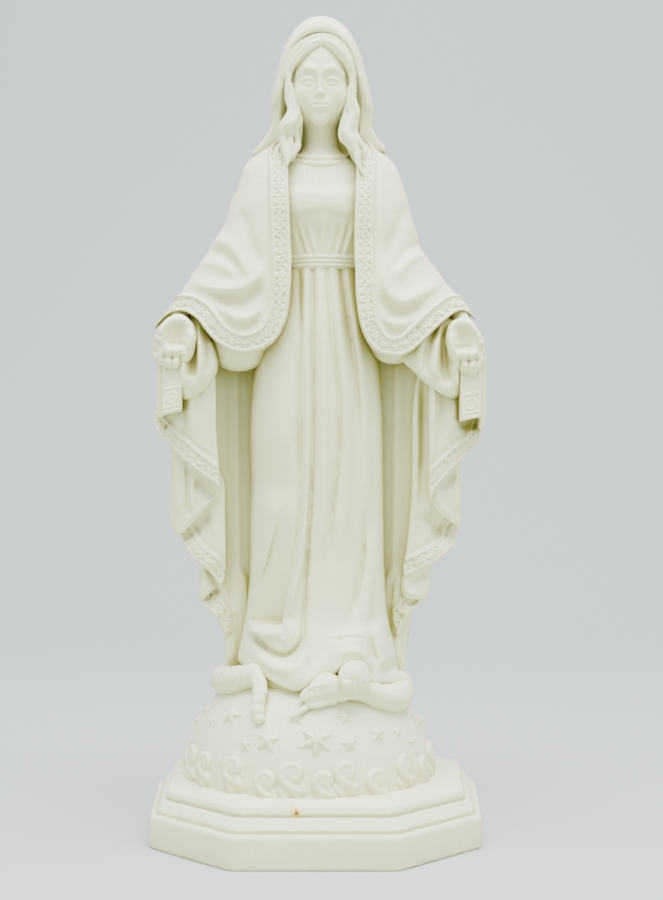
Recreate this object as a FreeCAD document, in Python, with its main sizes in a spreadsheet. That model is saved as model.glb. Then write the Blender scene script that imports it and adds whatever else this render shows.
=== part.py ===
"""Madonna statue: a standing robed figure with open hands on a starry globe and an octagonal plinth.

Frame: millimetres, +Z up, origin at the centre of the plinth's underside, the figure facing -Y.
"right" and "left" are the figure's own: her right hand is at -X.

The real object is one plaster casting. Each sculpted element of it is a closed solid here,
cut to bed on its neighbours face to face, so that no two solids share material.
"""

import FreeCAD, Part
import Sketcher
import math
import os

Vector = FreeCAD.Vector
Rotation = FreeCAD.Rotation
Placement = FreeCAD.Placement

doc = FreeCAD.newDocument("madonna_statue")
sizes = doc.addObject("Spreadsheet::Sheet", "sizes")

# Driving dimensions in millimetres: alias, value, what it is.
DIMENSIONS = [
    ("statue_height", 250.0, "underside of the plinth to the crown of the veil"),
    ("plinth_half", 48.7, "octagon, centre to a straight side"),
    ("plinth_corner", 25.0, "how much each corner of the square is cut back"),
    ("slab_height", 9.4, "lowest step of the plinth"),
    ("slab_round", 1.5, "rounding of the slab's top edge"),
    ("ogee_top", 13.9, "top of the middle step"),
    ("ogee_inset", 2.1, "middle step inside the slab"),
    ("ogee_chamfer", 2.6, "bevel of the middle step"),
    ("plinth_height", 17.2, "top of the plinth, where the globe stands"),
    ("cap_inset", 5.3, "top step inside the slab"),
    ("cap_chamfer", 2.4, "bevel of the top step"),
    ("globe_radius", 37.8, "hemisphere under the feet"),
    ("globe_x", -2.1, "the globe stands a little to the figure's right"),
    ("star_relief", 0.9, "how far a star stands out of the globe"),
    ("scroll_ring", 2.65, "middle radius of a cloud scroll"),
    ("scroll_tube", 0.8, "half thickness of a cloud scroll"),
    ("serpent_reach", 26.8, "centre line of the serpent's coil round the globe"),
    ("serpent_girth", 3.8, "radius of the serpent's body"),
    ("serpent_z", 46.0, "height of the serpent's coil"),
    ("foot_length", 8.5, "half length of the bare foot"),
    ("sash_height", 4.6, "height of the sash"),
    ("head_half_width", 9.4, "half width of the head"),
    ("head_half_height", 13.6, "half height of the head, chin to crown"),
    ("head_half_depth", 11.2, "half depth of the head"),
    ("head_z", 226.5, "height of the head's middle"),
    ("head_x", 1.2, "the head and chest stand a little to the figure's left"),
    ("neck_radius", 5.6, "neck"),
    ("hair_thickness", 1.6, "hair over the skull"),
    ("lock_radius", 2.3, "hair lock beside the neck"),
    ("palm_half_width", 5.6, "half width of a palm"),
    ("palm_half_length", 6.6, "half length of a palm"),
    ("palm_half_thickness", 3.0, "half thickness of a palm"),
    ("finger_radius", 1.5, "finger"),
    ("finger_pitch", 2.5, "from one finger to the next"),
    ("finger_length", 11.5, "finger, from inside the palm to its tip"),
    ("hand_x", 43.5, "palm centre to the middle plane"),
    ("hand_y", -15.0, "palm centre, in front of the body's middle"),
    ("hand_z", 151.0, "height of a palm's centre"),
    ("band_width", 8.4, "folded mantle end under a hand"),
    ("band_length", 17.0, "folded mantle end under a hand"),
    ("band_thickness", 2.6, "folded mantle end under a hand"),
    ("mantle_split", 0.8, "where the mantle's back meets its front panels, in Y"),
    ("fall_thickness", 15.0, "side fall of the mantle, front to back"),
]

# Oval sections of the drapery: name, height, half width, half depth, centre in Y.
SECTIONS = [
    ("hem", 42.0, 25.6, 24.6, -1.5),
    ("shin", 66.0, 22.4, 19.0, -2.0),
    ("knee", 96.0, 21.2, 17.6, -2.2),
    ("hip", 136.0, 20.4, 15.6, -0.5),
    ("waist", 171.0, 14.6, 11.4, -0.5),
    ("chest", 190.0, 17.6, 14.0, -0.8),
    ("bust", 200.0, 18.0, 12.6, 0.0),
    ("throat", 209.5, 9.4, 8.2, 0.6),
    ("cloak_foot", 44.0, 27.5, 24.0, 3.0),
    ("cloak_shin", 76.0, 37.5, 21.5, 3.0),
    ("cloak_thigh", 112.0, 44.0, 20.5, 3.0),
    ("cloak_wrist", 146.0, 50.6, 21.0, 0.0),
    ("cloak_forearm", 164.0, 44.6, 20.0, -0.5),
    ("cloak_elbow", 182.0, 33.4, 18.0, -0.5),
    ("cloak_arm", 199.0, 26.4, 14.6, 0.0),
    ("cloak_neck", 211.0, 16.0, 9.4, 1.0),
    ("veil_hem", 205.0, 18.6, 12.6, 1.5),
    ("veil_jaw", 219.0, 16.6, 13.4, 0.8),
    ("veil_temple", 233.0, 13.6, 12.6, 0.2),
    ("veil_brow", 243.0, 10.2, 9.8, 0.0),
    ("veil_crown", 250.0, 2.6, 2.4, 0.0),
]
SECTION_FIELDS = ("height", "width", "depth", "centre")


def fill_sheet():
    """Writes every driving dimension into the sheet, one row each, with its alias."""
    rows = [(alias, value, note) for alias, value, note in DIMENSIONS]
    for name, *values in SECTIONS:
        rows += [(f"{name}_{field}", v, f"oval section {name}") for field, v in zip(SECTION_FIELDS, values)]
    for row, (alias, value, note) in enumerate(rows, start=1):
        sizes.set(f"A{row}", alias)
        sizes.set(f"B{row}", str(value))
        sizes.set(f"C{row}", note)
        sizes.setAlias(f"B{row}", alias)
    doc.recompute()


def size(alias):
    """A driving dimension's value, for geometry that can't be bound to its cell."""
    return float(getattr(sizes, alias))


def bind(obj, **expressions):
    """Binds properties to sheet cells: bind(ball, Radius="sizes.globe_radius")."""
    for prop, expression in expressions.items():
        obj.setExpression(prop.replace("__", "."), expression)
    return obj


def primitive(kind, name, **expressions):
    return bind(doc.addObject(f"Part::{kind}", name), **expressions)


def fuse(name, *shapes):
    joined = doc.addObject("Part::MultiFuse", name)
    joined.Shapes = list(shapes)
    return joined


def common(name, *shapes):
    shared = doc.addObject("Part::MultiCommon", name)
    shared.Shapes = list(shapes)
    return shared


def seat(name, base, *neighbours):
    """base cut back to bed on its neighbours face to face."""
    for i, neighbour in enumerate(neighbours):
        last = i == len(neighbours) - 1
        cut = doc.addObject("Part::Cut", name if last else f"{name}_on_{neighbour.Name}")
        cut.Base, cut.Tool = base, neighbour
        base = cut
    return base


def finish(obj, label):
    """obj is a finished sub-part, and label is its node's name."""
    obj.Label = label
    nodes.append(obj)
    return obj


def oval_loft(name, *sections):
    """A smooth solid through the named oval sections, from the lowest up."""
    ovals = []
    for section in sections:
        oval = primitive(
            "Ellipse",
            f"{name}_{section}",
            MajorRadius=f"max(sizes.{section}_width; sizes.{section}_depth + 0.01)",
            MinorRadius=f"sizes.{section}_depth",
            Placement__Base__y=f"sizes.{section}_centre",
            Placement__Base__z=f"sizes.{section}_height",
        )
        ovals.append(oval)
    loft = doc.addObject("Part::Loft", name)
    loft.Sections, loft.Solid, loft.Ruled = ovals, True, False
    return loft


def sketch_in(body, plane_role, name):
    plane = next(o for o in body.Origin.OriginFeatures if o.Role == plane_role)
    sketch = body.newObject("Sketcher::SketchObject", name)
    sketch.AttachmentSupport = [(plane, "")]
    sketch.MapMode = "FlatFace"
    return sketch


def outline_pad(name, points, length_expression, y_front):
    """A front-view outline made solid from y_front backwards. A point is (x, z), and a point
    written (x, z, "arc") is the middle of an arc from the point before it to the one after."""
    body = doc.addObject("PartDesign::Body", name)
    sketch = sketch_in(body, "XZ_Plane", f"{name}_outline")
    flat = [Vector(p[0], p[1], 0) for p in points]
    i = 0
    while i < len(points):
        after = (i + 1) % len(points)
        if len(points[after]) == 3:
            end = (i + 2) % len(points)
            sketch.addGeometry(Part.Arc(flat[i], flat[after], flat[end]), False)
            i += 2
        else:
            sketch.addGeometry(Part.LineSegment(flat[i], flat[after]), False)
            i += 1
    pad = body.newObject("PartDesign::Pad", f"{name}_pad")
    pad.Profile = sketch
    pad.Reversed = True
    pad.setExpression("Length", length_expression)
    body.Placement = Placement(Vector(0, y_front, 0), Rotation())
    body.Tip = pad
    return body


def mirrored(points, side):
    """An outline drawn for the +X side, for side +1 or -1."""
    return [(side * p[0], *p[1:]) for p in points]


def octagon_step(body, name, inset, bottom, top):
    """One octagonal step of the plinth, with its size and height bound to the sheet."""
    sketch = sketch_in(body, "XY_Plane", f"{name}_octagon")
    half = size("plinth_half") - inset[1]
    flat = half - size("plinth_corner") + inset[1] * (math.sqrt(2) - 1)
    corners = [(flat, -half), (half, -flat), (half, flat), (flat, half)]
    corners += [(-x, -y) for x, y in corners]
    for i, (x, y) in enumerate(corners):
        x2, y2 = corners[(i + 1) % 8]
        sketch.addGeometry(Part.LineSegment(Vector(x, y, 0), Vector(x2, y2, 0)), False)
    for i in range(8):
        sketch.addConstraint(Sketcher.Constraint("Coincident", i, 2, (i + 1) % 8, 1))
    half_cell = f"sizes.plinth_half - {inset[0]}"
    flat_cell = f"sizes.plinth_half - {inset[0]} - sizes.plinth_corner + {inset[0]} * (sqrt(2) - 1)"
    for i, (x, y) in enumerate(corners):
        for axis, value in (("X", x), ("Y", y)):
            sketch.addConstraint(Sketcher.Constraint(f"Distance{axis}", -1, 1, i, 1, value))
            cell = half_cell if abs(abs(value) - half) < 1e-9 else flat_cell
            sign = "-1 * " if value < 0 else ""
            sketch.setExpression(f"Constraints[{sketch.ConstraintCount - 1}]", f"{sign}({cell})")
    sketch.setExpression("AttachmentOffset.Base.z", bottom)
    pad = body.newObject("PartDesign::Pad", name)
    pad.Profile = sketch
    pad.setExpression("Length", f"{top} - {bottom}")
    doc.recompute()
    return pad


def top_edges(pad, z):
    """Names of the straight edges of a pad's shape that lie at height z."""
    found = []
    for i, edge in enumerate(pad.Shape.Edges, start=1):
        if all(abs(v.Z - z) < 1e-6 for v in edge.Vertexes):
            found.append(f"Edge{i}")
    return found


def outer_edges(pad, z, least):
    """The edges at height z that lie further than least from the middle."""
    named = []
    for name in top_edges(pad, z):
        edge = pad.Shape.getElement(name)
        if math.hypot(edge.CenterOfMass.x, edge.CenterOfMass.y) > least:
            named.append(name)
    return named


def make_plinth():
    """Octagonal plinth: a slab, a bevelled middle step and a bevelled cap."""
    body = doc.addObject("PartDesign::Body", "plinth_body")
    slab = octagon_step(body, "plinth_slab", ("0", 0.0), "0", "sizes.slab_height")
    rounding = body.newObject("PartDesign::Fillet", "slab_edge")
    rounding.Base = (slab, top_edges(slab, size("slab_height")))
    rounding.setExpression("Radius", "sizes.slab_round")
    doc.recompute()
    steps = (
        ("ogee", "sizes.slab_height", "sizes.ogee_top", "ogee_top"),
        ("cap", "sizes.ogee_top", "sizes.plinth_height", "plinth_height"),
    )
    for name, bottom, top, top_alias in steps:
        inset = (f"sizes.{name}_inset", size(f"{name}_inset"))
        step = octagon_step(body, f"plinth_{name}", inset, bottom, top)
        bevel = body.newObject("PartDesign::Chamfer", f"{name}_edge")
        bevel.Base = (step, outer_edges(step, size(top_alias), 1.0))
        bevel.setExpression("Size", f"sizes.{name}_chamfer")
        doc.recompute()
    return finish(body, "plinth")


def make_globe():
    globe = primitive(
        "Sphere",
        "globe_ball",
        Radius="sizes.globe_radius",
        Placement__Base__x="sizes.globe_x",
        Placement__Base__z="sizes.plinth_height",
    )
    globe.Angle1, globe.Angle2 = 0, 90
    return finish(globe, "globe")


def globe_centre():
    return Vector(size("globe_x"), 0, size("plinth_height"))


def on_globe(azimuth, elevation, lift=0.0):
    """Placement on the globe's surface: azimuth 0 is the front, and the local Z points outwards."""
    a, e = math.radians(azimuth), math.radians(elevation)
    out = Vector(math.sin(a) * math.cos(e), -math.cos(a) * math.cos(e), math.sin(e))
    right = Vector(math.cos(a), math.sin(a), 0)
    up = out.cross(right)
    place = out * (size("globe_radius") + lift) + globe_centre()
    return Placement(place, Rotation(right, up, out, "ZXY"))


# Stars all round the globe: azimuth from the front, elevation, points, outer radius.
STARS = [
    (4.0, 25.5, 6, 5.2),
    (-19.6, 25.1, 5, 4.0),
    (-31, 22.4, 5, 2.0),
    (-45.3, 34.4, 5, 3.6),
    (-6.4, 35.6, 5, 2.1),
    (19.9, 35.9, 5, 2.7),
    (19.9, 23.5, 5, 2.6),
    (36.2, 26.7, 5, 3.0),
    (49.8, 25.9, 5, 1.7),
    (-61, 29.9, 5, 1.7),
    (58.7, 20.2, 5, 1.7),
    (75, 28.0, 5, 3.0),
    (95, 24.0, 5, 3.4),
    (116, 32.0, 5, 2.6),
    (137, 24.0, 5, 3.8),
    (158, 31.0, 5, 2.4),
    (180, 25.0, 6, 4.6),
    (-158, 32.0, 5, 2.6),
    (-137, 25.0, 5, 3.6),
    (-113, 31.0, 5, 2.4),
    (-92, 24.0, 5, 3.2),
    (-75, 33.0, 5, 2.2),
]
FINGERS = 4
STAR_WAIST = 0.42  # a star's inner radius over its outer one


def make_stars():
    """Raised stars: prisms along the globe's radius, kept only in a thin shell on its surface."""
    centre = globe_centre()
    relief = size("star_relief")
    inner = Part.makeSphere(size("globe_radius"), centre)
    outer = Part.makeSphere(size("globe_radius") + relief, centre)
    shell = outer.cut(inner)
    solids = []
    for azimuth, elevation, points, radius in STARS:
        corners = []
        for i in range(2 * points + 1):
            r = radius if i % 2 == 0 else radius * STAR_WAIST
            turn = math.pi * i / points
            corners.append(Vector(r * math.sin(turn), r * math.cos(turn), 0))
        prism = Part.Face(Part.makePolygon(corners)).extrude(Vector(0, 0, 4 * relief + 2))
        prism.Placement = on_globe(azimuth, elevation, -2.0)
        solids += prism.common(shell).Solids
    stars = doc.addObject("Part::Feature", "star_group")
    stars.Shape = Part.makeCompound(solids)
    return finish(stars, "globe_stars")


# Cloud scrolls along the front: azimuth, elevation. The rest follow at an even pitch.
FRONT_SCROLLS = [
    (-54.7, 11.3),
    (-36, 11.9),
    (-18.6, 7.5),
    (-7, 11.2),
    (6.9, 8.0),
    (17.1, 11.5),
    (31.8, 7.3),
    (49.6, 11.0),
    (66, 8.0),
]
REAR_SCROLLS = 15
REAR_HIGH, REAR_LOW = 11.4, 7.8


def scroll_places():
    first, last = FRONT_SCROLLS[-1][0], FRONT_SCROLLS[0][0] + 360
    pitch = (last - first) / (REAR_SCROLLS + 1)
    rear = [(first + pitch * (i + 1), (REAR_HIGH, REAR_LOW)[i % 2]) for i in range(REAR_SCROLLS)]
    return FRONT_SCROLLS + rear


def make_scrolls():
    """Cloud scrolls: rings with a boss in the middle, low and high in turn round the globe."""
    ball = Part.makeSphere(size("globe_radius"), globe_centre())
    ground = Part.makeBox(200, 200, 50, Vector(-100, -100, size("plinth_height") - 50))
    ring_radius, tube = size("scroll_ring"), size("scroll_tube")
    solids = []
    for azimuth, elevation in scroll_places():
        place = on_globe(azimuth, elevation)
        ring = Part.makeTorus(ring_radius, tube)
        boss = Part.makeSphere(ring_radius * 0.62)
        for piece in (ring, boss):
            piece.Placement = place
        solids += ring.cut(ball).cut(ground).Solids
        solids += boss.cut(ball).cut(ground).Solids
    scrolls = doc.addObject("Part::Feature", "scroll_group")
    scrolls.Shape = Part.makeCompound(solids)
    return finish(scrolls, "cloud_scrolls")


def make_gown(globe):
    """Skirt, sash and bodice, stacked face to face."""
    skirt = seat("skirt_on_globe", oval_loft("skirt", "hem", "shin", "knee", "hip", "waist"), globe)
    finish(skirt, "gown_skirt")
    sash = primitive(
        "Ellipse",
        "sash_outline",
        MajorRadius="sizes.waist_width + 0.7",
        MinorRadius="sizes.waist_depth + 0.7",
        Placement__Base__y="sizes.waist_centre",
        Placement__Base__z="sizes.waist_height",
    )
    band = doc.addObject("Part::Extrusion", "sash_band")
    band.Base, band.DirMode, band.Dir, band.Solid = sash, "Custom", Vector(0, 0, 1), True
    band.setExpression("LengthFwd", "sizes.sash_height")
    finish(band, "sash")
    upper = oval_loft("torso", "waist", "chest", "bust", "throat")
    below = primitive("Box", "below_bodice")
    bind(
        below,
        Length="100 mm",
        Width="100 mm",
        Height="sizes.waist_height + sizes.sash_height - 100",
        Placement__Base__x="-50 mm",
        Placement__Base__y="-50 mm",
        Placement__Base__z="100 mm",
    )
    bodice = finish(seat("bodice_above_sash", upper, below), "gown_bodice")
    return skirt, band, bodice


def make_head(bodice):
    """Head with its neck, the neckline's band, the hair with two locks, and the veil."""
    head_ball = primitive(
        "Ellipsoid",
        "skull",
        Radius1="sizes.head_half_height",
        Radius2="sizes.head_half_width",
        Radius3="sizes.head_half_depth",
        Placement__Base__x="sizes.head_x",
        Placement__Base__y="-1.6 mm",
        Placement__Base__z="sizes.head_z",
    )
    nose = primitive(
        "Cone",
        "nose",
        Radius1="1.7 mm",
        Radius2="0.5 mm",
        Height="6 mm",
        Placement__Base__x="sizes.head_x",
        Placement__Base__y="-1.2 - sizes.head_half_depth",
        Placement__Base__z="sizes.head_z - 4.5",
    )
    neck = primitive(
        "Cylinder",
        "neck",
        Radius="sizes.neck_radius",
        Height="sizes.head_z - sizes.bust_height",
        Placement__Base__x="sizes.head_x",
        Placement__Base__y="0.6 mm",
        Placement__Base__z="sizes.bust_height",
    )
    head = finish(seat("head_on_bodice", fuse("head_whole", head_ball, nose, neck), bodice), "head")

    ring = primitive(
        "Torus",
        "neckline_ring",
        Radius1="sizes.neck_radius + 4.0",
        Radius2="1.3 mm",
        Placement__Base__x="sizes.head_x",
        Placement__Base__y="-0.6 mm",
        Placement__Base__z="sizes.throat_height - 1.2",
    )
    neckline = finish(seat("neckline_on_bodice", ring, bodice, head), "neckline")
    worn = [ring, bodice, head]

    hair_ball = primitive(
        "Ellipsoid",
        "hair_cap",
        Radius1="sizes.head_half_height + sizes.hair_thickness - 1.0",
        Radius2="sizes.head_half_width + sizes.hair_thickness",
        Radius3="sizes.head_half_depth + 0.4",
        Placement__Base__x="sizes.head_x",
        Placement__Base__y="-1.2 mm",
        Placement__Base__z="sizes.head_z + 0.6",
    )
    locks = []
    for side, word in ((-1, "right"), (1, "left")):
        lock = primitive(
            "Cone",
            f"lock_{word}",
            Radius1="sizes.lock_radius * 0.55",
            Radius2="sizes.lock_radius",
            Height="25 mm",
        )
        foot = Vector(2.8 + side * 11.4, -13.5, 199.5)
        top = Vector(1.6 + side * 9.8, -6.5, 223.0)
        lock.Placement = Placement(foot, Rotation(Vector(0, 0, 1), top - foot))
        locks.append(lock)
    window = primitive(
        "Ellipsoid",
        "face_window",
        Radius1="sizes.head_half_height * 0.90",
        Radius2="sizes.head_half_width * 0.86",
        Radius3="9 mm",
        Placement__Base__x="sizes.head_x",
        Placement__Base__y="-13 mm",
        Placement__Base__z="sizes.head_z - 2.0",
    )
    hair = seat("hair_open", fuse("hair_whole", hair_ball, *locks), window)
    finish(seat("hair_on_head", hair, *worn), "hair")

    veil_mass = oval_loft(
        "veil_mass", "veil_hem", "veil_jaw", "veil_temple", "veil_brow", "veil_crown"
    )
    veil_mouth = primitive(
        "Ellipsoid",
        "veil_mouth",
        Radius1="29 mm",
        Radius2="sizes.head_half_width + 2.6",
        Radius3="14 mm",
        Placement__Base__x="sizes.head_x",
        Placement__Base__y="-14 mm",
        Placement__Base__z="sizes.head_z - 13.0",
    )
    veil = seat("veil_open", veil_mass, veil_mouth)
    finish(seat("veil_on_hair", veil, *worn, hair), "veil")
    return [veil, hair, *worn]


# Front-view outlines for the +X side: (x, z), and (x, z, "arc") for the middle of an arc.
CAPE_OUTLINE = [
    (9.6, 216.0),
    (9.0, 164.0),
    (12.4, 149.5, "arc"),
    (22.5, 144.2),
    (30.5, 147.4, "arc"),
    (37.0, 155.6),
    (44.5, 157.6, "arc"),
    (56.0, 151.0),
    (56.0, 216.0),
]
FALL_OUTLINE = [
    (30.0, 146.0),
    (50.6, 146.0),
    (52.4, 124.0, "arc"),
    (47.4, 116.4),
    (37.0, 104.0),
    (44.8, 108.5),
    (44.4, 92.0),
    (42.0, 86.0, "arc"),
    (33.8, 79.0),
    (35.4, 74.0),
    (33.0, 69.0, "arc"),
    (27.0, 64.0),
    (25.8, 52.0),
    (22.0, 52.0),
    (22.0, 100.0),
]


def make_mantle(skirt, sash, globe, worn):
    """The mantle: one back, a cape panel over each arm and a folded fall down each side."""
    split = size("mantle_split")
    cloak = oval_loft(
        "cloak",
        "cloak_foot",
        "cloak_shin",
        "cloak_thigh",
        "cloak_wrist",
        "cloak_forearm",
        "cloak_elbow",
        "cloak_arm",
        "cloak_neck",
    )
    rear = primitive("Box", "rear_half")
    bind(rear, Length="140 mm", Width="60 mm", Height="240 mm", Placement__Base__x="-70 mm")
    rear.Placement.Base.y = split
    back = common("mantle_rear", cloak, rear)
    finish(seat("mantle_seated", back, globe, skirt, sash, *worn), "mantle_back")
    capes = []
    for side, word in ((-1, "right"), (1, "left")):
        points = mirrored([(x + 1.2 * side, z, *rest) for x, z, *rest in CAPE_OUTLINE], side)
        panel = outline_pad(f"cape_{word}_cutter", points, f"{split + 40} mm", -40.0)
        cape = common(f"cape_{word}_mass", cloak, panel)
        finish(seat(f"cape_{word}_seated", cape, skirt, sash, *worn), f"cape_{word}")
        capes.append(cape)
    return back, capes


def make_digit(name, root, aim):
    """A slim ellipsoid that starts at root and points along aim."""
    digit = primitive(
        "Ellipsoid",
        name,
        Radius1="sizes.finger_length / 2",
        Radius2="sizes.finger_radius",
        Radius3="sizes.finger_radius",
    )
    aim = Vector(aim).normalize()
    middle = root + aim * (size("finger_length") / 2)
    digit.Placement = Placement(middle, Rotation(Vector(0, 0, 1), aim))
    return digit


def make_hand(side, word):
    """An open hand, palm forward and fingers down, made of a palm, four fingers and a thumb."""
    palm = primitive(
        "Ellipsoid",
        f"palm_{word}",
        Radius1="sizes.palm_half_thickness",
        Radius2="sizes.palm_half_length",
        Radius3="sizes.palm_half_width",
    )
    middle = Vector(side * size("hand_x"), size("hand_y"), size("hand_z"))
    flat = Rotation(Vector(0, 0, 1), Vector(1, 0, 0), Vector(0, 1, 0), "ZXY")
    palm.Placement = Placement(middle, flat)
    digits = []
    for i in range(FINGERS):
        across = (i - (FINGERS - 1) / 2) * size("finger_pitch")
        root = middle + Vector(across, 0, -0.4 * size("palm_half_length"))
        digits.append(make_digit(f"finger_{word}_{i}", root, Vector(across * 0.06, -0.3, -1)))
    root = middle + Vector(side * 0.5 * size("palm_half_width"), -0.6, 0.8)
    digits.append(make_digit(f"thumb_{word}", root, Vector(side * 0.6, -0.6, -0.6)))
    return fuse(f"hand_{word}_whole", palm, *digits)


def make_arms(globe, skirt, back, capes):
    """Hands, the sleeves under the wrists, the folded mantle ends and the side falls."""
    falls = []
    for (side, word), cape in zip(((-1, "right"), (1, "left")), capes):
        bed = [cape, skirt, back]
        hand = make_hand(side, word)
        finish(seat(f"hand_{word}_seated", hand, *bed), f"hand_{word}")
        sleeve = primitive(
            "Ellipsoid",
            f"sleeve_{word}_ball",
            Radius1="13.5 mm",
            Radius2="7.6 mm",
            Radius3="9.5 mm",
        )
        sleeve.Placement = Placement(Vector(side * 34.0, -9.5, 142.5), Rotation())
        finish(seat(f"sleeve_{word}_seated", sleeve, *bed, hand), f"sleeve_{word}")
        band = primitive(
            "Box",
            f"band_{word}_bar",
            Length="sizes.band_width",
            Width="sizes.band_thickness",
            Height="sizes.band_length",
            Placement__Base__x=f"{side} * (sizes.hand_x + 1.6) - sizes.band_width / 2",
            Placement__Base__y="sizes.hand_y - 0.6",
            Placement__Base__z="sizes.hand_z - 26.0",
        )
        finish(seat(f"band_{word}_seated", band, *bed, hand, sleeve), f"band_{word}")
        points = mirrored(FALL_OUTLINE, side)
        fall = outline_pad(f"fall_{word}_pad", points, "sizes.fall_thickness", -14.2)
        around = [*bed, hand, sleeve, band, globe]
        finish(seat(f"fall_{word}_seated", fall, *around), f"mantle_fall_{word}")
        falls.append(fall)
    return falls


# The two stretches of the serpent's coil that come out from under the robe:
# name, start and sweep in degrees round the globe, from +X.
SERPENT_ARCS = (("right", 178.0, 47.0), ("left", -79.0, 82.0))


def make_foot_and_serpent(globe, draped):
    """The serpent round the globe's crown, and the foot that treads on it."""
    foot = primitive(
        "Ellipsoid", "toes", Radius1="sizes.foot_length", Radius2="4.9 mm", Radius3="4.7 mm"
    )
    foot.Placement = Placement(Vector(10.9, -24.6, 52.8), Rotation(Vector(1, 0, 0), 90))
    finish(seat("foot_seated", foot, globe, *draped), "foot_left")

    coils = []
    for word, start, sweep in SERPENT_ARCS:
        coil = primitive(
            "Torus",
            f"coil_{word}",
            Radius1="sizes.serpent_reach",
            Radius2="sizes.serpent_girth",
            Placement__Base__x="sizes.globe_x",
            Placement__Base__z="sizes.serpent_z",
        )
        coil.Angle3 = sweep
        coil.Placement.Rotation = Rotation(Vector(0, 0, 1), start)
        finish(seat(f"coil_{word}_seated", coil, globe, foot, *draped), f"serpent_coil_{word}")
        coils.append(coil)

    skull = primitive("Ellipsoid", "serpent_skull", Radius1="5.8 mm", Radius2="4.0 mm", Radius3="4.2 mm")
    lengthways = Rotation(Vector(1, 0, 0), -90) * Rotation(Vector(0, 1, 0), 90)
    skull.Placement = Placement(Vector(1.8, -28.0, 47.4), Rotation(Vector(0, 0, 1), 8) * lengthways)
    finish(seat("skull_seated", skull, globe, *coils, *draped), "serpent_head")

    tail_tip = Vector(-16.6, -28.4, 38.8)
    tail_root = Vector(-17.4, -20.4, 49.0)
    tail = primitive("Cone", "tail_cone", Radius1="1.1 mm", Radius2="2.7 mm")
    tail.Height = (tail_root - tail_tip).Length
    tail.Placement = Placement(tail_tip, Rotation(Vector(0, 0, 1), tail_root - tail_tip))
    finish(seat("tail_seated", tail, globe, *coils, *draped), "serpent_tail")


def check_and_export():
    """Stops on any failed object or bad shape, then writes one STEP file per node."""
    doc.recompute()
    failed = [o.Name for o in doc.Objects if "Invalid" in o.State or "Error" in o.State]
    if failed:
        raise RuntimeError(f"these objects failed: {failed}")
    os.makedirs("parts", exist_ok=True)
    for obj in nodes:
        shape = obj.Shape
        if shape.isNull() or not shape.isValid() or not shape.Solids or shape.Volume <= 0:
            raise RuntimeError(f"{obj.Label} has no valid solid")
        solid = shape.Solids[0] if len(shape.Solids) == 1 else Part.makeCompound(shape.Solids)
        solid.exportStep(f"parts/{obj.Label}.step")
        box = shape.BoundBox
        print(
            f"{obj.Label:20s} {len(shape.Solids):3d} solids {shape.Volume:10.1f} mm3  "
            f"x {box.XMin:6.1f} {box.XMax:6.1f}  y {box.YMin:6.1f} {box.YMax:6.1f}  "
            f"z {box.ZMin:6.1f} {box.ZMax:6.1f}"
        )


nodes = []
fill_sheet()
make_plinth()
globe = make_globe()
make_stars()
make_scrolls()
skirt, sash, bodice = make_gown(globe)
worn = make_head(bodice)
back, capes = make_mantle(skirt, sash, globe, worn)
falls = make_arms(globe, skirt, back, capes)
make_foot_and_serpent(globe, [skirt, back, *falls])
check_and_export()
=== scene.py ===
"""Madonna statue cast in white plaster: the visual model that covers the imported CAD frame.

Forms are worked out in millimetres in the record's frame (+Z up, the figure facing -Y, her own
right hand at -X) as fields over regular grids, then turned into meshes in metres.
"""
import math
import bpy
import numpy as np
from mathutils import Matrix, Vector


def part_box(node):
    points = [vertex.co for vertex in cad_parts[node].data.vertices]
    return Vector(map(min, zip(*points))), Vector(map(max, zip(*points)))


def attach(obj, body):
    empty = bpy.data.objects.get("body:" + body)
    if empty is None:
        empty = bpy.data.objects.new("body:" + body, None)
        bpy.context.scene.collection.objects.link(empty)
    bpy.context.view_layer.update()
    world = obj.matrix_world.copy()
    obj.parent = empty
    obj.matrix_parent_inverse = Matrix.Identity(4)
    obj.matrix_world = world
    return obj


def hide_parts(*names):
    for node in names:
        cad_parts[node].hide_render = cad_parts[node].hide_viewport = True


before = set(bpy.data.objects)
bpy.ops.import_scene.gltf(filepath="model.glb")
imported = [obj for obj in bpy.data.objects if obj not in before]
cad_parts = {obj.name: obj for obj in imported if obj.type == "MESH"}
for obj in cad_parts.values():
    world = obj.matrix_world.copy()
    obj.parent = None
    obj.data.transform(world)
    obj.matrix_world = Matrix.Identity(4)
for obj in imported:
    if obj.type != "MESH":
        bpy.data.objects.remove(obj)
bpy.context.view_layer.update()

import openvdb
from mathutils import Vector, noise

MM = 0.001


def box_mm(node):
    """A CAD node's lowest and highest corners, in millimetres."""
    low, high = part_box(node)
    return np.array(low) / MM, np.array(high) / MM


# ---------------------------------------------------------------- grids, fields and meshes


class Block:
    """A box of space on a regular grid. A field over it is negative inside the solid."""

    def __init__(self, low, high, step):
        self.low, self.step = np.array(low, float), step
        counts = [int(round((h - l) / step)) + 1 for l, h in zip(low, high)]
        axes = [(l + step * np.arange(n)).astype(np.float32) for l, n in zip(low, counts)]
        self.x = axes[0][:, None, None]
        self.y = axes[1][None, :, None]
        self.z = axes[2][None, None, :]
        self.axes = axes
        self.plane_x = axes[0][:, None]
        self.plane_z = axes[2][None, :]

    def flat(self, value=0.0):
        """A relief over the front view's (x, z) plane."""
        return np.full((len(self.axes[0]), len(self.axes[2])), value, np.float32)


def lift(plane):
    """A relief over (x, z), the same at every depth."""
    return plane[:, None, :]


def smax(a, b, k):
    """The larger of two fields, with the edge between them rounded over k mm."""
    h = np.maximum(k - np.abs(a - b), 0) / k
    return np.maximum(a, b) + h * h * (k / 4)


def smin(a, b, k):
    return -smax(-a, -b, k)


def soft_step(t):
    t = np.clip(t, 0, 1)
    return t * t * (3 - 2 * t)


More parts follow.
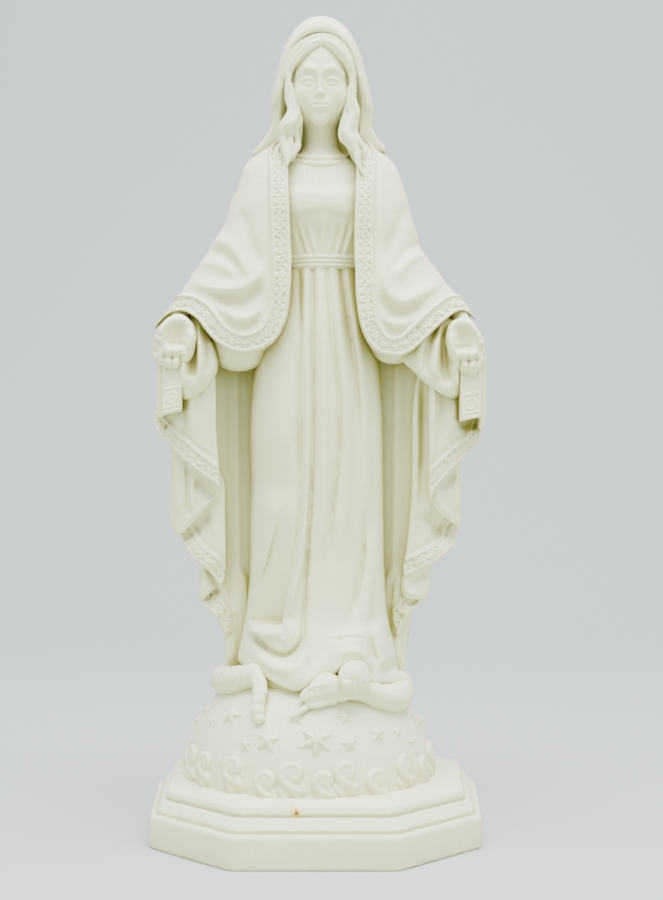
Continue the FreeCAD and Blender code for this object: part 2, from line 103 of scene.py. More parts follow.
def curve(points, spacing=0.6, closed=False):
    """Evenly spaced points on a smooth curve through the given ones."""
    p = np.array(points, float)
    around = [p[-1:], p, p[:2]] if closed else [2 * p[:1] - p[1:2], p, 2 * p[-1:] - p[-2:-1]]
    q = np.concatenate(around)
    t = np.linspace(0, 1, 12, endpoint=False)[:, None]
    parts = []
    for a, b, c, d in zip(q, q[1:], q[2:], q[3:]):
        parts.append(b + 0.5 * t * (c - a + t * (2 * a - 5 * b + 4 * c - d + t * (3 * (b - c) + d - a))))
    if not closed:
        parts.append(p[-1:])
    dense = np.concatenate(parts)
    if closed:
        dense = np.concatenate([dense, dense[:1]])
    length = np.concatenate([[0], np.cumsum(np.linalg.norm(np.diff(dense, axis=0), axis=1))])
    count = max(int(length[-1] / spacing), 3)
    where = np.linspace(0, length[-1], count + 1)
    return np.stack([np.interp(where, length, dense[:, i]) for i in range(p.shape[1])], axis=1)


def knots(z, table, column):
    """A smooth value at each z from a table of (z, ...) rows, lowest first."""
    rows = np.array(table, float)
    kz, kv = rows[:, 0], rows[:, column]
    slope = np.gradient(kv, kz)
    i = np.clip(np.searchsorted(kz, z) - 1, 0, len(kz) - 2)
    width = kz[i + 1] - kz[i]
    t = np.clip((z - kz[i]) / width, 0, 1)
    a, b, m, n = kv[i], kv[i + 1], slope[i] * width, slope[i + 1] * width
    value = a + t * m + t * t * (3 * (b - a) - 2 * m - n) + t ** 3 * (2 * (a - b) + m + n)
    return value.astype(np.float32)


def stroke(relief, block, points, height, width, far=None, power=2.0, ends=(0.25, 0.25)):
    """Raises (or sinks) a fold along a curve over the relief. height and width may be lists along
    the curve; far is the width on the right-hand side of its direction of travel."""
    path = curve(points)
    share = np.linspace(0, 1, len(path))
    spread = lambda v: np.interp(share, np.linspace(0, 1, np.size(v)), np.atleast_1d(v))
    heights = spread(height)
    for end, t in zip(ends, (share, 1 - share)):
        heights = heights * (soft_step(t / end) if end else 1)
    left, right = spread(width), spread(width if far is None else far)
    reach = 2.6 * max(left.max(), right.max()) * (1.6 if power < 1.5 else 1)
    ax, az = block.axes[0], block.axes[2]
    ix = slice(*np.searchsorted(ax, [path[:, 0].min() - reach, path[:, 0].max() + reach]))
    iz = slice(*np.searchsorted(az, [path[:, 1].min() - reach, path[:, 1].max() + reach]))
    gx, gz = ax[ix][:, None], az[iz][None, :]
    if gx.size == 0 or gz.size == 0:
        return
    best = np.full((gx.size, gz.size), 1e9, np.float32)
    amount = np.zeros_like(best)
    for k in range(len(path) - 1):
        a, d = path[k], path[k + 1] - path[k]
        size = d @ d
        t = np.clip(((gx - a[0]) * d[0] + (gz - a[1]) * d[1]) / size, 0, 1)
        ex, ez = gx - a[0] - t * d[0], gz - a[1] - t * d[1]
        gap = ex * ex + ez * ez
        near = gap < best
        side = d[0] * ez - d[1] * ex
        w = np.where(side > 0, left[k], right[k])
        shape = (heights[k] + t * (heights[k + 1] - heights[k])) * np.exp(-(gap / (w * w)) ** (power / 2))
        best = np.where(near, gap, best)
        amount = np.where(near, shape, amount)
    relief[ix, iz] += amount


def outline(gx, gz, points, smooth=True):
    """Signed distance over (x, z) to a closed outline, negative inside."""
    path = curve(points, 1.0, closed=True) if smooth else np.array(list(points) + [points[0]], float)
    best = np.full(np.broadcast_shapes(gx.shape, gz.shape), 1e9, np.float32)
    inside = np.zeros(best.shape, bool)
    for a, b in zip(path[:-1], path[1:]):
        d = b - a
        size = d @ d
        if size == 0:
            continue
        t = np.clip(((gx - a[0]) * d[0] + (gz - a[1]) * d[1]) / size, 0, 1)
        best = np.minimum(best, (gx - a[0] - t * d[0]) ** 2 + (gz - a[1] - t * d[1]) ** 2)
        if a[1] != b[1]:
            crosses = (gz < a[1]) != (gz < b[1])
            inside ^= crosses & (gx < a[0] + (gz - a[1]) * d[0] / (b[1] - a[1]))
    return np.where(inside, -1, 1) * np.sqrt(best)


def oval(block, table, power=2.0):
    """An upright form with a rounded section. A row is (z, half width, half depth, x, y)."""
    z = block.axes[2]
    a, b, cx, cy = (knots(z, table, i)[None, None, :] for i in (1, 2, 3, 4))
    u, v = np.abs(block.x - cx) / a, np.abs(block.y - cy) / b
    q = np.maximum((u ** power + v ** power) ** (1 / power), 1e-3)
    slope = q ** (1 - power) * np.sqrt((u ** (power - 1) / a) ** 2 + (v ** (power - 1) / b) ** 2)
    return (q - 1) / np.maximum(slope, 0.25 / a)


def ellipsoid(block, centre, radii, turn=None):
    """turn is a rotation matrix whose columns are the ellipsoid's own axes."""
    p = [block.x - centre[0], block.y - centre[1], block.z - centre[2]]
    if turn is not None:
        p = [sum(p[i] * float(turn[i][j]) for i in range(3)) for j in range(3)]
    k0 = np.sqrt(sum((p[i] / radii[i]) ** 2 for i in range(3)))
    k1 = np.sqrt(sum((p[i] / radii[i] ** 2) ** 2 for i in range(3)))
    return k0 * (k0 - 1) / np.maximum(k1, 1e-4)


def limb(block, start, end, r1, r2):
    """A tapered bar with round ends."""
    a, d = np.array(start, float), np.array(end, float) - np.array(start, float)
    px, py, pz = block.x - a[0], block.y - a[1], block.z - a[2]
    t = np.clip((px * d[0] + py * d[1] + pz * d[2]) / (d @ d), 0, 1)
    gap = np.sqrt((px - t * d[0]) ** 2 + (py - t * d[1]) ** 2 + (pz - t * d[2]) ** 2)
    return gap - (r1 + t * (r2 - r1))


def tube(block, points, radii, spacing=1.5):
    """A round bar along a smooth curve, with radii spread along it."""
    path = curve(points, spacing)
    radius = np.interp(np.linspace(0, 1, len(path)), np.linspace(0, 1, len(radii)), radii)
    field = None
    for k in range(len(path) - 1):
        part = limb(block, path[k], path[k + 1], radius[k], radius[k + 1])
        field = part if field is None else np.minimum(field, part)
    return field


def axes_along(direction, up=(0, 0, 1)):
    """A rotation whose third axis is direction and whose first is square to up."""
    c = np.array(direction, float) / np.linalg.norm(direction)
    a = np.cross(up, c)
    a /= np.linalg.norm(a)
    return np.stack([a, np.cross(c, a), c], axis=1)


def surface(block, field):
    """The zero surface of a field as points in mm and four-cornered faces, wound outwards."""
    band = 4 * block.step
    padded = np.pad(np.clip(field, -band, band).astype(np.float32), 1, constant_values=band)
    grid = openvdb.FloatGrid(band)
    grid.copyFromArray(padded)
    points, quads = grid.convertToQuads(isovalue=0.0)
    points = (points - 1) * block.step + block.low
    return points, quads[:, ::-1]


def relax(points, quads):
    """Evens a mesh out: each point moves towards the middle of its neighbours, then back a little."""
    pairs = np.concatenate([quads[:, [i, (i + 1) % 4]] for i in range(4)])
    count = np.bincount(pairs.ravel(), minlength=len(points))[:, None]
    for share in (0.55, -0.5):
        total = np.zeros_like(points)
        for i in range(3):
            total[:, i] = np.bincount(pairs[:, 0], points[pairs[:, 1], i], len(points))
            total[:, i] += np.bincount(pairs[:, 1], points[pairs[:, 0], i], len(points))
        points = points + share * (total / count - points)
    return points


def wear(points, amount, size):
    """Slight unevenness of a cast surface: points shift by up to amount over about size mm."""
    shift = [noise.noise_vector(Vector(p) / size) for p in points.tolist()]
    return points + amount * np.array(shift)


def piece(name, parts, material, nodes=None):
    """One object from (points, quads) parts, riding on the root in place of its CAD nodes."""
    points = np.concatenate([p for p, _ in parts])
    offsets = np.cumsum([0] + [len(p) for p, _ in parts[:-1]])
    faces = np.concatenate([q + o for (_, q), o in zip(parts, offsets)])
    mesh = bpy.data.meshes.new(name)
    mesh.from_pydata((points * MM).tolist(), [], faces.tolist())
    mesh.polygons.foreach_set("use_smooth", [True] * len(mesh.polygons))
    mesh.materials.append(material)
    mesh.update()
    obj = bpy.data.objects.new(name, mesh)
    bpy.context.scene.collection.objects.link(obj)
    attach(obj, "root")
    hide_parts(*(nodes or [name.removesuffix("_cast")]))
    return obj


WEAR_SIZE = 3.0  # mm from one bump of a worn surface to the next


def cast(name, block, field, material, uneven=0.06):
    """Meshes a field and makes it a piece, worn by up to uneven mm."""
    points, quads = surface(block, field)
    points = wear(relax(points, quads), uneven, WEAR_SIZE)
    return piece(f"{name}_cast", [(points, quads)], material, [name])


# ---------------------------------------------------------------- plaster


def painted_side_shade(nodes, links, tone):
    """Painted shade: a tone as it looks on upright faces, darker and yellower as they catch less of the light
    from above.
    """
    node = nodes.new("ShaderNodeMix")
    node.data_type, node.blend_type = "RGBA", "MULTIPLY"
    node.inputs["Factor"].default_value = 1.0
    node.inputs["B"].default_value = (0.925, 0.93, 0.715, 1)
    links.new(tone, node.inputs["A"])
    return node.outputs["Result"]


def plaster(name, colour, hollow_shade, grain=1.0, stain=False):
    """Matt cast plaster: cloudy tone, painted shade in hollows and on upright faces, fine pores and a sandy
    grain.
    """
    mat = bpy.data.materials.new(name)
    mat.use_nodes = True
    nodes, links = mat.node_tree.nodes, mat.node_tree.links
    shader = nodes["Principled BSDF"]
    shader.inputs["Roughness"].default_value = 0.78
    shader.inputs["Specular IOR Level"].default_value = 0.28
    shader.inputs["Subsurface Weight"].default_value = 0.12
    shader.inputs["Subsurface Radius"].default_value = (1.0, 0.85, 0.6)
    shader.inputs["Subsurface Scale"].default_value = 0.0012
    place = nodes.new("ShaderNodeTexCoord")

    def noise_at(scale, detail, roughness=0.6):
        node = nodes.new("ShaderNodeTexNoise")
        node.inputs["Scale"].default_value = scale
        node.inputs["Detail"].default_value = detail
        node.inputs["Roughness"].default_value = roughness
        links.new(place.outputs["Object"], node.inputs["Vector"])
        return node.outputs["Fac"]

    def spread(value, low, high, to_low=0.0, to_high=1.0):
        node = nodes.new("ShaderNodeMapRange")
        for socket, number in zip(("From Min", "From Max", "To Min", "To Max"), (low, high, to_low, to_high)):
            node.inputs[socket].default_value = number
        links.new(value, node.inputs["Value"])
        return node.outputs["Result"]

    def mix(fac, a, b):
        node = nodes.new("ShaderNodeMix")
        node.data_type = "RGBA"
        links.new(fac, node.inputs["Factor"])
        for socket, value in ((node.inputs["A"], a), (node.inputs["B"], b)):
            if isinstance(value, tuple):
                socket.default_value = (*value, 1)
            else:
                links.new(value, socket)
        return node.outputs["Result"]

    shade = tuple(c * s for c, s in zip(colour, (0.965, 0.96, 0.93)))
    tone = mix(spread(noise_at(55, 5), 0.35, 0.7), colour, shade)
    # Painted shade: upright faces get a darker, yellower tone than faces turned up, as if lit from above.
    facing = nodes.new("ShaderNodeNewGeometry")
    upright = nodes.new("ShaderNodeSeparateXYZ")
    links.new(facing.outputs["Normal"], upright.inputs["Vector"])
    tone = mix(spread(upright.outputs["Z"], -0.15, 0.65), painted_side_shade(nodes, links, tone), tone)
    # Painted shade: ambient occlusion darkens and yellows the tone in hollows, creases and gaps between
    # parts.
    occlusion_shade = nodes.new("ShaderNodeAmbientOcclusion")
    occlusion_shade.inputs["Distance"].default_value = 0.015
    occlusion_shade.samples = 8
    tone = mix(spread(occlusion_shade.outputs["AO"], 0.74, 0.24), tone, hollow_shade)
    freckle = spread(noise_at(900, 2), 0.70, 0.78, 0.0, 0.35)
    tone = mix(freckle, tone, tuple(c * 0.8 for c in hollow_shade))
    if stain:
        mark = rust(nodes, links, place)
        tone = mix(mark, tone, (0.72, 0.50, 0.06))
        tone = mix(spread(mark, 0.72, 1.0), tone, (0.24, 0.07, 0.01))
    links.new(tone, shader.inputs["Base Color"])
    links.new(spread(noise_at(400, 3), 0.3, 0.7, 0.72, 0.86), shader.inputs["Roughness"])

    sand = nodes.new("ShaderNodeBump")
    sand.inputs["Strength"].default_value = 0.22 * grain
    sand.inputs["Distance"].default_value = 0.0003
    links.new(noise_at(2300, 4, 0.7), sand.inputs["Height"])
    waves = nodes.new("ShaderNodeBump")
    waves.inputs["Strength"].default_value = 0.25 * grain
    waves.inputs["Distance"].default_value = 0.0008
    links.new(noise_at(420, 3), waves.inputs["Height"])
    links.new(sand.outputs["Normal"], waves.inputs["Normal"])
    links.new(waves.outputs["Normal"], shader.inputs["Normal"])
    return mat


def rust(nodes, links, place):
    """How much of the small rusty run on the plinth's front edge shows at a point: a dark spot
    with a thin trail that climbs to the left."""
    front = -box_mm("plinth")[1][1]
    cap = box_mm("plinth")[1][2]
    wobble = nodes.new("ShaderNodeTexNoise")
    wobble.inputs["Scale"].default_value = 700
    links.new(place.outputs["Object"], wobble.inputs["Vector"])
    shift = nodes.new("ShaderNodeVectorMath")
    shift.operation = "MULTIPLY_ADD"
    shift.inputs[1].default_value = (0.0011, 0.0011, 0.0011)
    links.new(wobble.outputs["Color"], shift.inputs[0])
    links.new(place.outputs["Object"], shift.inputs[2])
    total = None
    for x, y, z, reach, strength in RUST:
        spot = nodes.new("ShaderNodeVectorMath")
        spot.operation = "DISTANCE"
        spot.inputs[1].default_value = (x * MM + 0.00055, (front + y) * MM + 0.00055,
                                        (cap + z) * MM + 0.00055)
        links.new(shift.outputs["Vector"], spot.inputs[0])
        fade = nodes.new("ShaderNodeMapRange")
        fade.inputs["From Min"].default_value = reach * MM
        fade.inputs["From Max"].default_value = 0.2 * reach * MM
        fade.inputs["To Max"].default_value = strength
        links.new(spot.outputs["Value"], fade.inputs["Value"])
        if total is None:
            total = fade.outputs["Result"]
        else:
            both = nodes.new("ShaderNodeMath")
            both.operation = "MAXIMUM"
            links.new(total, both.inputs[0])
            links.new(fade.outputs["Result"], both.inputs[1])
            total = both.outputs["Value"]
    return total


# Marks of the rusty run: x, inset from the front, height over the plinth's top, reach, strength.
RUST = [
    (-5.2, 4.8, -2.1, 2.1, 1.0), (-5.6, 5.3, -1.2, 1.6, 0.75), (-6.2, 6.0, -0.5, 1.4, 0.65),
    (-7.2, 7.4, -0.2, 1.4, 0.6), (-8.4, 8.6, -0.1, 1.4, 0.45), (-9.6, 7.0, -0.3, 1.7, 0.35),
    (-11.2, 6.8, -0.3, 1.7, 0.28),
]
# Colours of the plaster, then of the painted shade that darkens and yellows its hollows: deeper in the robe's
# folds, lighter on the finer parts, the skin and the base.
PALE = (0.915, 0.93, 0.70)
HOLLOW_SHADE = (0.39, 0.35, 0.075)
SOFT_HOLLOW_SHADE = (0.68, 0.665, 0.36)
robe_plaster = plaster("plaster_robe", PALE, HOLLOW_SHADE)
fine_plaster = plaster("plaster_fine", PALE, SOFT_HOLLOW_SHADE, grain=0.8)
skin_plaster = plaster("plaster_skin", PALE, SOFT_HOLLOW_SHADE, grain=0.6)
base_plaster = plaster("plaster_base", (0.91, 0.925, 0.70), SOFT_HOLLOW_SHADE, grain=1.5, stain=True)

# ---------------------------------------------------------------- plinth and globe

PLINTH_HALF = box_mm("plinth")[1][0]
CAP_Z = box_mm("plinth")[1][2]
GLOBE_R = box_mm("globe")[1][1]
GLOBE = np.array([box_mm("globe")[1][0] - GLOBE_R, 0.0, box_mm("globe")[0][2]])
CORNER_CUT = 25.0


def over_globe(block):
    """Height over the globe's surface."""
    away = (block.x - GLOBE[0], block.y - GLOBE[1], block.z - GLOBE[2])
    return np.sqrt(sum(v ** 2 for v in away)) - GLOBE_R


def make_plinth():
    """Three octagonal steps with the soft edges of a cast; its sides spread a little to the back."""
    half = PLINTH_HALF
    block = Block((-half - 4, -half - 1.2, -1), (half + 4, half + 1.2, CAP_Z + 1), 0.47)
    spread = 1 + 0.0011 * np.maximum(block.y + 24, 0)
    x, y = np.abs(block.x) / spread, np.abs(block.y)
    side = smax(smax(x, y, 0.4) - half, (x + y - (2 * half - CORNER_CUT)) / math.sqrt(2), 1.6)
    z = block.z
    slab = smax(side, z - 10.0, 2.0)
    middle = smax(side + 1.7 + 0.7 * np.maximum(z - 10.4, 0), z - 14.1, 0.9)
    cap = smax(side + 4.7 + 0.4 * np.maximum(z - 14.6, 0), z - 16.9, 1.0)
    cap = cap + 0.5 * np.exp(-((side + 7.4) / 0.5) ** 2) * (z > 15.4)
    foot = smax(np.hypot(block.x - GLOBE[0], block.y) - GLOBE_R - 1.4, z - CAP_Z - 0.5, 2.0)
    field = np.minimum(np.minimum(slab, middle), smin(cap, foot, 2.5))
    # A fine groove along the foot of the middle step and of the cap.
    for inset, height in ((1.9, 9.9), (5.0, 14.0)):
        field = smax(field, 0.5 - np.hypot(side + inset, z - height), 0.25)
    cast("plinth", block, smax(field, -z, 0.5), base_plaster, uneven=0.08)


def make_globe():
    reach = GLOBE_R + 1
    block = Block(GLOBE - (reach, reach, 1), GLOBE + reach, 0.5)
    cast("globe", block, np.maximum(over_globe(block), GLOBE[2] - 0.5 - block.z), base_plaster, uneven=0.14)


def globe_frame(azimuth, elevation):
    """Outward, sideways and upward directions at a place on the globe; azimuth 0 is the front."""
    a, e = math.radians(azimuth), math.radians(elevation)
    out = np.array([math.sin(a) * math.cos(e), -math.cos(a) * math.cos(e), math.sin(e)])
    right = np.array([math.cos(a), math.sin(a), 0.0])
    return out, right, np.cross(right, -out)


def globe_patch(azimuth, elevation, reach, step):
    """A small block round a place on the globe, with each cell's local (right, up) and height
    over the globe's surface."""
    out, right, up = globe_frame(azimuth, elevation)
    middle = GLOBE + out * GLOBE_R
    block = Block(middle - reach, middle + reach, step)
    p = (block.x - middle[0], block.y - middle[1], block.z - middle[2])
    u = sum(p[i] * right[i] for i in range(3))
    v = sum(p[i] * up[i] for i in range(3))
    return block, u, v, over_globe(block)


# Stars: azimuth, elevation, points, radius.
STARS = [
    (4.0, 25.5, 6, 5.6), (-19.6, 25.1, 5, 4.4), (-31, 22.4, 5, 2.4), (-45.3, 34.4, 5, 4.0),
    (-6.4, 35.6, 5, 2.4), (19.9, 35.9, 5, 3.0), (19.9, 23.5, 5, 2.8), (36.2, 26.7, 5, 3.2),
    (49.8, 25.9, 5, 2.0), (-61, 29.9, 5, 1.9), (58.7, 20.2, 5, 1.9), (75, 28.0, 5, 3.0),
    (95, 24.0, 5, 3.4), (116, 32.0, 5, 2.6), (137, 24.0, 5, 3.8), (158, 31.0, 5, 2.4),
    (180, 25.0, 6, 4.6), (-158, 32.0, 5, 2.6), (-137, 25.0, 5, 3.6), (-113, 31.0, 5, 2.4),
    (-92, 24.0, 5, 3.2), (-75, 33.0, 5, 2.2),
]


def make_stars():
    """Stars with a ridge from the middle to each tip."""
    parts = []
    for azimuth, elevation, points, radius in STARS:
        block, u, v, height = globe_patch(azimuth, elevation, radius + 1.0, 0.25)
        turn = math.pi / points
        angle = np.arctan2(u, v) + 0.15 * math.sin(azimuth)
        fold = np.abs(((angle + turn) % (2 * turn)) - turn)
        r = np.hypot(u, v)
        across, along = r * np.sin(fold), r * np.cos(fold)
        slant = 0.36 if points == 6 else 0.42
        edge = (across - (radius - along) * slant) / math.hypot(1, slant)
        crown = np.clip(-edge * 1.0, 0, 1.4) + 0.3
        field = smax(smax(height - crown, edge, 0.5), -0.7 - height, 0.1)
        parts.append(relaxed(block, field))
    piece("globe_stars_cast", parts, base_plaster, ["globe_stars"])


def relaxed(block, field):
    points, quads = surface(block, field)
    return relax(points, quads), quads


# Cloud scrolls along the front: azimuth, elevation. The rest follow at an even pitch.
FRONT_SCROLLS = [
    (-54.7, 11.3), (-36, 11.9), (-18.6, 7.5), (-7, 11.2), (6.9, 8.0), (17.1, 11.5), (31.8, 7.3),
    (49.6, 11.0), (66, 8.0),
]
REAR_SCROLLS = 15


def scroll_places():
    first, last = FRONT_SCROLLS[-1][0], FRONT_SCROLLS[0][0] + 360
    pitch = (last - first) / (REAR_SCROLLS + 1)
    rear = [(first + pitch * (i + 1), (11.4, 7.8)[i % 2]) for i in range(REAR_SCROLLS)]
    return FRONT_SCROLLS + rear


def make_scrolls():
    """Volutes on a bank of cloud: a fat curl that winds in to a boss, its tail sweeping down like
    a breaking wave."""
    parts = []
    for azimuth, elevation in scroll_places():
        block, u, v, height = globe_patch(azimuth, elevation, 7.4, 0.3)
        size = 2.35 + 0.2 * math.sin(azimuth * 0.7)
        curl = [(size * s * math.cos(math.radians(t)), size * s * math.sin(math.radians(t)))
                for t, s in ((-95, 0.62), (-50, 0.78), (-10, 0.92), (35, 1.0), (80, 1.0), (125, 1.02),
                             (170, 1.1))]
        curl += [(-1.05 * size, -0.55 * size), (-0.62 * size, -1.15 * size), (0.1 * size, -1.6 * size),
                 (1.2 * size, -1.95 * size)]
        rim = None
        path = curve(curl, 0.9)
        thick = np.interp(np.linspace(0, 1, len(path)), (0, 0.12, 0.5, 0.75, 1), (0.6, 0.85, 1.1, 1.15, 0.7))
        for k in range(len(path) - 1):
            d = path[k + 1] - path[k]
            t = np.clip(((u - path[k][0]) * d[0] + (v - path[k][1]) * d[1]) / (d @ d), 0, 1)
            gap = np.hypot(u - path[k][0] - t * d[0], v - path[k][1] - t * d[1])
            bar = np.hypot(gap, (height - 0.05) * 0.9) - thick[k]
            rim = bar if rim is None else smin(rim, bar, 0.3)
        boss = np.hypot(np.hypot(u - 0.1, v + 0.15), height * 1.2) - 0.55 * size
        ground = np.hypot(np.hypot(u, v) - 0.1, height * 2.6) - 1.12 * size
        bank = np.hypot(u / 2.4, (v + 2.0 * size) / 1.8) - 2.0
        bank = smax(height - 0.7 - 0.4 * np.sin(1.5 * u + v + azimuth), bank, 1.8)
        field = smin(smin(smin(rim, boss, 0.35), ground, 0.9), bank, 0.6)
        field = np.maximum(np.maximum(field, -0.9 - height), GLOBE[2] - 0.2 - block.z)
        parts.append(relaxed(block, field))
    piece("cloud_scrolls_cast", parts, base_plaster, ["cloud_scrolls"])


# ---------------------------------------------------------------- the gown

# Sections of the gown: z, half width, half depth, x, y.
SKIRT = [
    (40, 25.6, 26.5, 0.2, -1.0), (48, 25.2, 26.0, 0.2, -1.0), (56, 23.8, 23.0, 0.1, -0.6),
    (66, 21.8, 19.6, 0.0, -0.4), (80, 20.6, 17.8, 0.2, -0.2), (96, 20.4, 17.2, 0.2, -0.2),
    (115, 20.2, 17.0, 0.2, -0.2), (135, 19.8, 16.4, 0.3, 0.0), (155, 17.2, 15.0, 0.8, 0.0),
    (171.5, 13.6, 12.6, 1.5, 0.0), (178, 13.2, 12.0, 1.6, 0.0),
]
TORSO = [
    (168, 13.6, 12.2, 1.6, 0.0), (174, 14.2, 12.4, 1.6, 0.0), (180, 15.6, 13.2, 1.6, 0.0),
    (186, 17.0, 14.8, 1.6, 0.0), (192, 17.8, 14.9, 1.6, 0.2), (198, 17.2, 13.0, 1.6, 0.8),
    (203, 14.6, 10.8, 1.4, 1.2), (205.2, 11.6, 9.4, 1.3, 1.2), (206.8, 8.6, 7.8, 1.3, 1.0),
    (208.4, 6.5, 6.6, 1.3, 0.8), (210.5, 5.5, 5.7, 1.3, 0.6), (213, 5.0, 5.0, 1.3, 0.4),
]


def make_skirt():
    """The skirt: the right thigh and shin under smooth cloth, pleats beside them, and a hem that
    trails over the globe and lifts over the left foot."""
    block = Block((-28, -30, 40), (28, 8, 173), 0.48)
    base = oval(block, SKIRT, 2.15)
    relief = block.flat()
    fold = lambda *a, **k: stroke(relief, block, *a, **k)
    # The right leg: thigh, knee and shin.
    fold([(-8.0, 165), (-11.0, 145), (-12.2, 122), (-12.6, 104)], [0.6, 1.8, 2.6, 2.2], 6.5, ends=(0.2, 0.3))
    fold([(-12.6, 108), (-14.0, 90), (-16.2, 74)], [1.6, 1.4, 0.8], 4.5, ends=(0.3, 0.3))
    fold([(-5.4, 150), (-5.0, 125), (-4.8, 100)], -1.3, 2.0, ends=(0.3, 0.4))
    # Pleats from the sash to the hem.
    fold([(-5.1, 173), (-4.7, 150), (-4.6, 125), (-4.4, 102), (-5.6, 90), (-7.8, 80), (-9.8, 72),
          (-10.3, 64.5)],
         [-1.0, -0.9, -0.7, -1.1, -1.6, -1.8, -1.8], 0.9, 0.8, power=1.3, ends=(0.02, 0.02))
    fold([(-3.0, 172), (-2.8, 140), (-2.8, 104), (-4.0, 86), (-6.4, 74), (-7.4, 64)],
         [0.9, 1.1, 1.3, 1.7, 2.4, 2.6], 1.1, 1.7, ends=(0.05, 0.1))
    fold([(-1.0, 173), (-0.9, 150), (-0.6, 130), (-1.0, 110), (-2.0, 94), (-2.9, 80), (-3.5, 68), (-4.0, 60)],
         [-1.5, -1.5, -1.4, -1.5, -1.7, -1.6, -1.2], 0.7, 0.9, power=1.3, ends=(0.02, 0.2))
    fold([(1.2, 172), (2.4, 140), (2.8, 115), (1.4, 90), (0.0, 70)], [1.1, 1.3, 1.3, 1.4, 0.8], 1.7)
    fold([(3.3, 173), (5.0, 152), (6.8, 133), (6.9, 116), (5.5, 103), (4.6, 93), (3.9, 80), (3.3, 68)],
         [-1.2, -1.2, -1.4, -1.5, -1.6, -1.4, -0.9], 0.8, 0.9, power=1.3, ends=(0.02, 0.3))
    fold([(5.6, 172), (7.6, 148), (9.4, 130), (9.4, 110), (8.0, 92), (6.6, 76)], [0.9, 1.2, 1.3, 1.2, 0.9],
         1.7)
    fold([(7.3, 173), (9.6, 158), (11.8, 142), (12.8, 126), (12.6, 108)], [-1.6, -1.5, -1.3, -0.8], 0.8, 1.1,
         power=1.4, ends=(0.02, 0.4))
    fold([(9.4, 171), (12.2, 152), (14.6, 132), (15.4, 110), (15.0, 88)], [1.0, 1.2, 1.1, 0.9], 1.9)
    fold([(14.8, 100), (14.0, 84), (12.4, 74), (10.6, 67), (9.6, 62)], [-0.8, -1.5, -1.6, -1.2], 0.9, 1.2,
         power=1.4)
    fold([(16.6, 96), (16.6, 80), (15.2, 68), (14.2, 60)], [0.8, 1.3, 1.1], 1.8)
    fold([(18.0, 140), (18.8, 110), (19.2, 80), (20.4, 62), (22.2, 52)], [0.4, 0.8, 1.1, 1.2], 1.6)
    # The flat sunk panel beside the shin, and the lap of cloth that ends it.
    panel = outline(block.plane_x, block.plane_z,
                    [(-9.6, 100), (-5.6, 94), (-5.9, 84), (-8.6, 74.6), (-10.2, 64.8), (-19.4, 64.8),
                     (-17.4, 74), (-14.2, 84), (-11.4, 94.8)], smooth=False)
    fold([(-20.6, 62.8), (-16.0, 62.2), (-11.6, 62.6), (-9.0, 62.0)], [1.6, 2.2, 1.4], 1.3, 1.8,
         ends=(0.1, 0.2))
    # The U-shaped loop of the pleat over the instep.
    fold([(-3.4, 78), (-3.6, 66), (-4.2, 60.0), (-8.0, 56.2), (-12.6, 56.6), (-17.0, 59.8), (-20.0, 62.6)],
         [-0.6, -1.5, -2.2, -2.6, -2.6, -2.0], 1.6, 0.9, power=1.5, ends=(0.2, 0.1))
    fold([(-2.0, 70), (-2.0, 59.4), (-5.6, 53.8), (-12.0, 53.2), (-17.6, 56.4), (-21.0, 60)],
         [0.8, 1.4, 1.8, 1.8, 1.2], 1.9)
    fold([(-8.2, 67), (-8.0, 61.4), (-10.8, 59.8)], [1.2, 1.8, 1.0], 1.6)
    # The trailing hem: soft waves, and the lift over the left foot.
    fold([(-13, 54), (-7, 50.6), (-1, 51.6), (4.4, 56.4), (6.6, 64)], [0.4, 0.9, 1.0, 0.7], 2.2)
    fold([(3.0, 60.6), (7.0, 61.0), (9.4, 61.4), (12.6, 61.2), (16.0, 60.2)], [-0.6, -1.5, -1.6, -0.9], 0.7,
         1.0, power=1.4)
    fold([(10.9, 54), (10.9, 59), (10.4, 66)], [4.8, 4.4, 1.0], 5.0, ends=(0, 0.4))
    fold([(6.0, 55.0), (8.2, 57.2), (11.2, 58.0), (14.2, 56.8), (16.0, 53.8), (17.0, 50.6)], [0.9, 1.3, 1.1],
         0.9)
    fold([(7.2, 59.6), (11.2, 60.0), (15.2, 58.2)], [-0.5, -0.8, -0.5], 0.6)
    fold([(17.4, 66), (19.8, 58), (21.8, 50.6)], [1.4, 2.2, 2.0], 2.6)
    fold([(16.2, 63), (16.8, 57), (17.8, 51.6)], [-1.0, -1.6, -1.0], 0.9, power=1.4)
    hem = outline(block.plane_x, block.plane_z, [
        (-27, 62), (-26.4, 56), (-24.6, 52.6), (-20.0, 51.4), (-16.0, 50.2), (-12.8, 48.6), (-9.0, 47.0),
        (-5.4, 46.2), (-2.0, 47.4), (3.0, 49.6), (6.2, 51.6), (8.4, 54.4), (11.0, 55.2), (13.6, 54.4),
        (15.2, 51.6), (16.4, 48.8), (19.4, 47.4), (23.6, 47.2), (26.4, 49.8), (27, 58), (27.5, 120),
        (20, 172.4), (-18, 172.4), (-27, 120)])
    field = smax(base - lift(relief), lift(hem), 0.9)
    facet = -16.1 - 0.36 * (block.x + 9.6) - 0.115 * (block.z - 97)
    field = smax(field, np.minimum(0.2 - lift(panel), facet - block.y), 0.5)
    # Cloth bunched behind the foot and under the hem.
    field = smin(field, limb(block, (4.0, -21.0, 49.2), (16.0, -19.0, 48.6), 3.9, 3.2), 0.8)
    field = smin(field, limb(block, (15.0, -17.6, 48.4), (24.4, -9.6, 46.8), 3.2, 3.4), 0.8)
    field = smin(field, limb(block, (-15.0, -18.6, 48.8), (-6.0, -21.6, 46.4), 2.4, 2.6), 0.8)
    field = np.maximum(field, block.y - 6.0)
    cast("gown_skirt", block, field, robe_plaster)


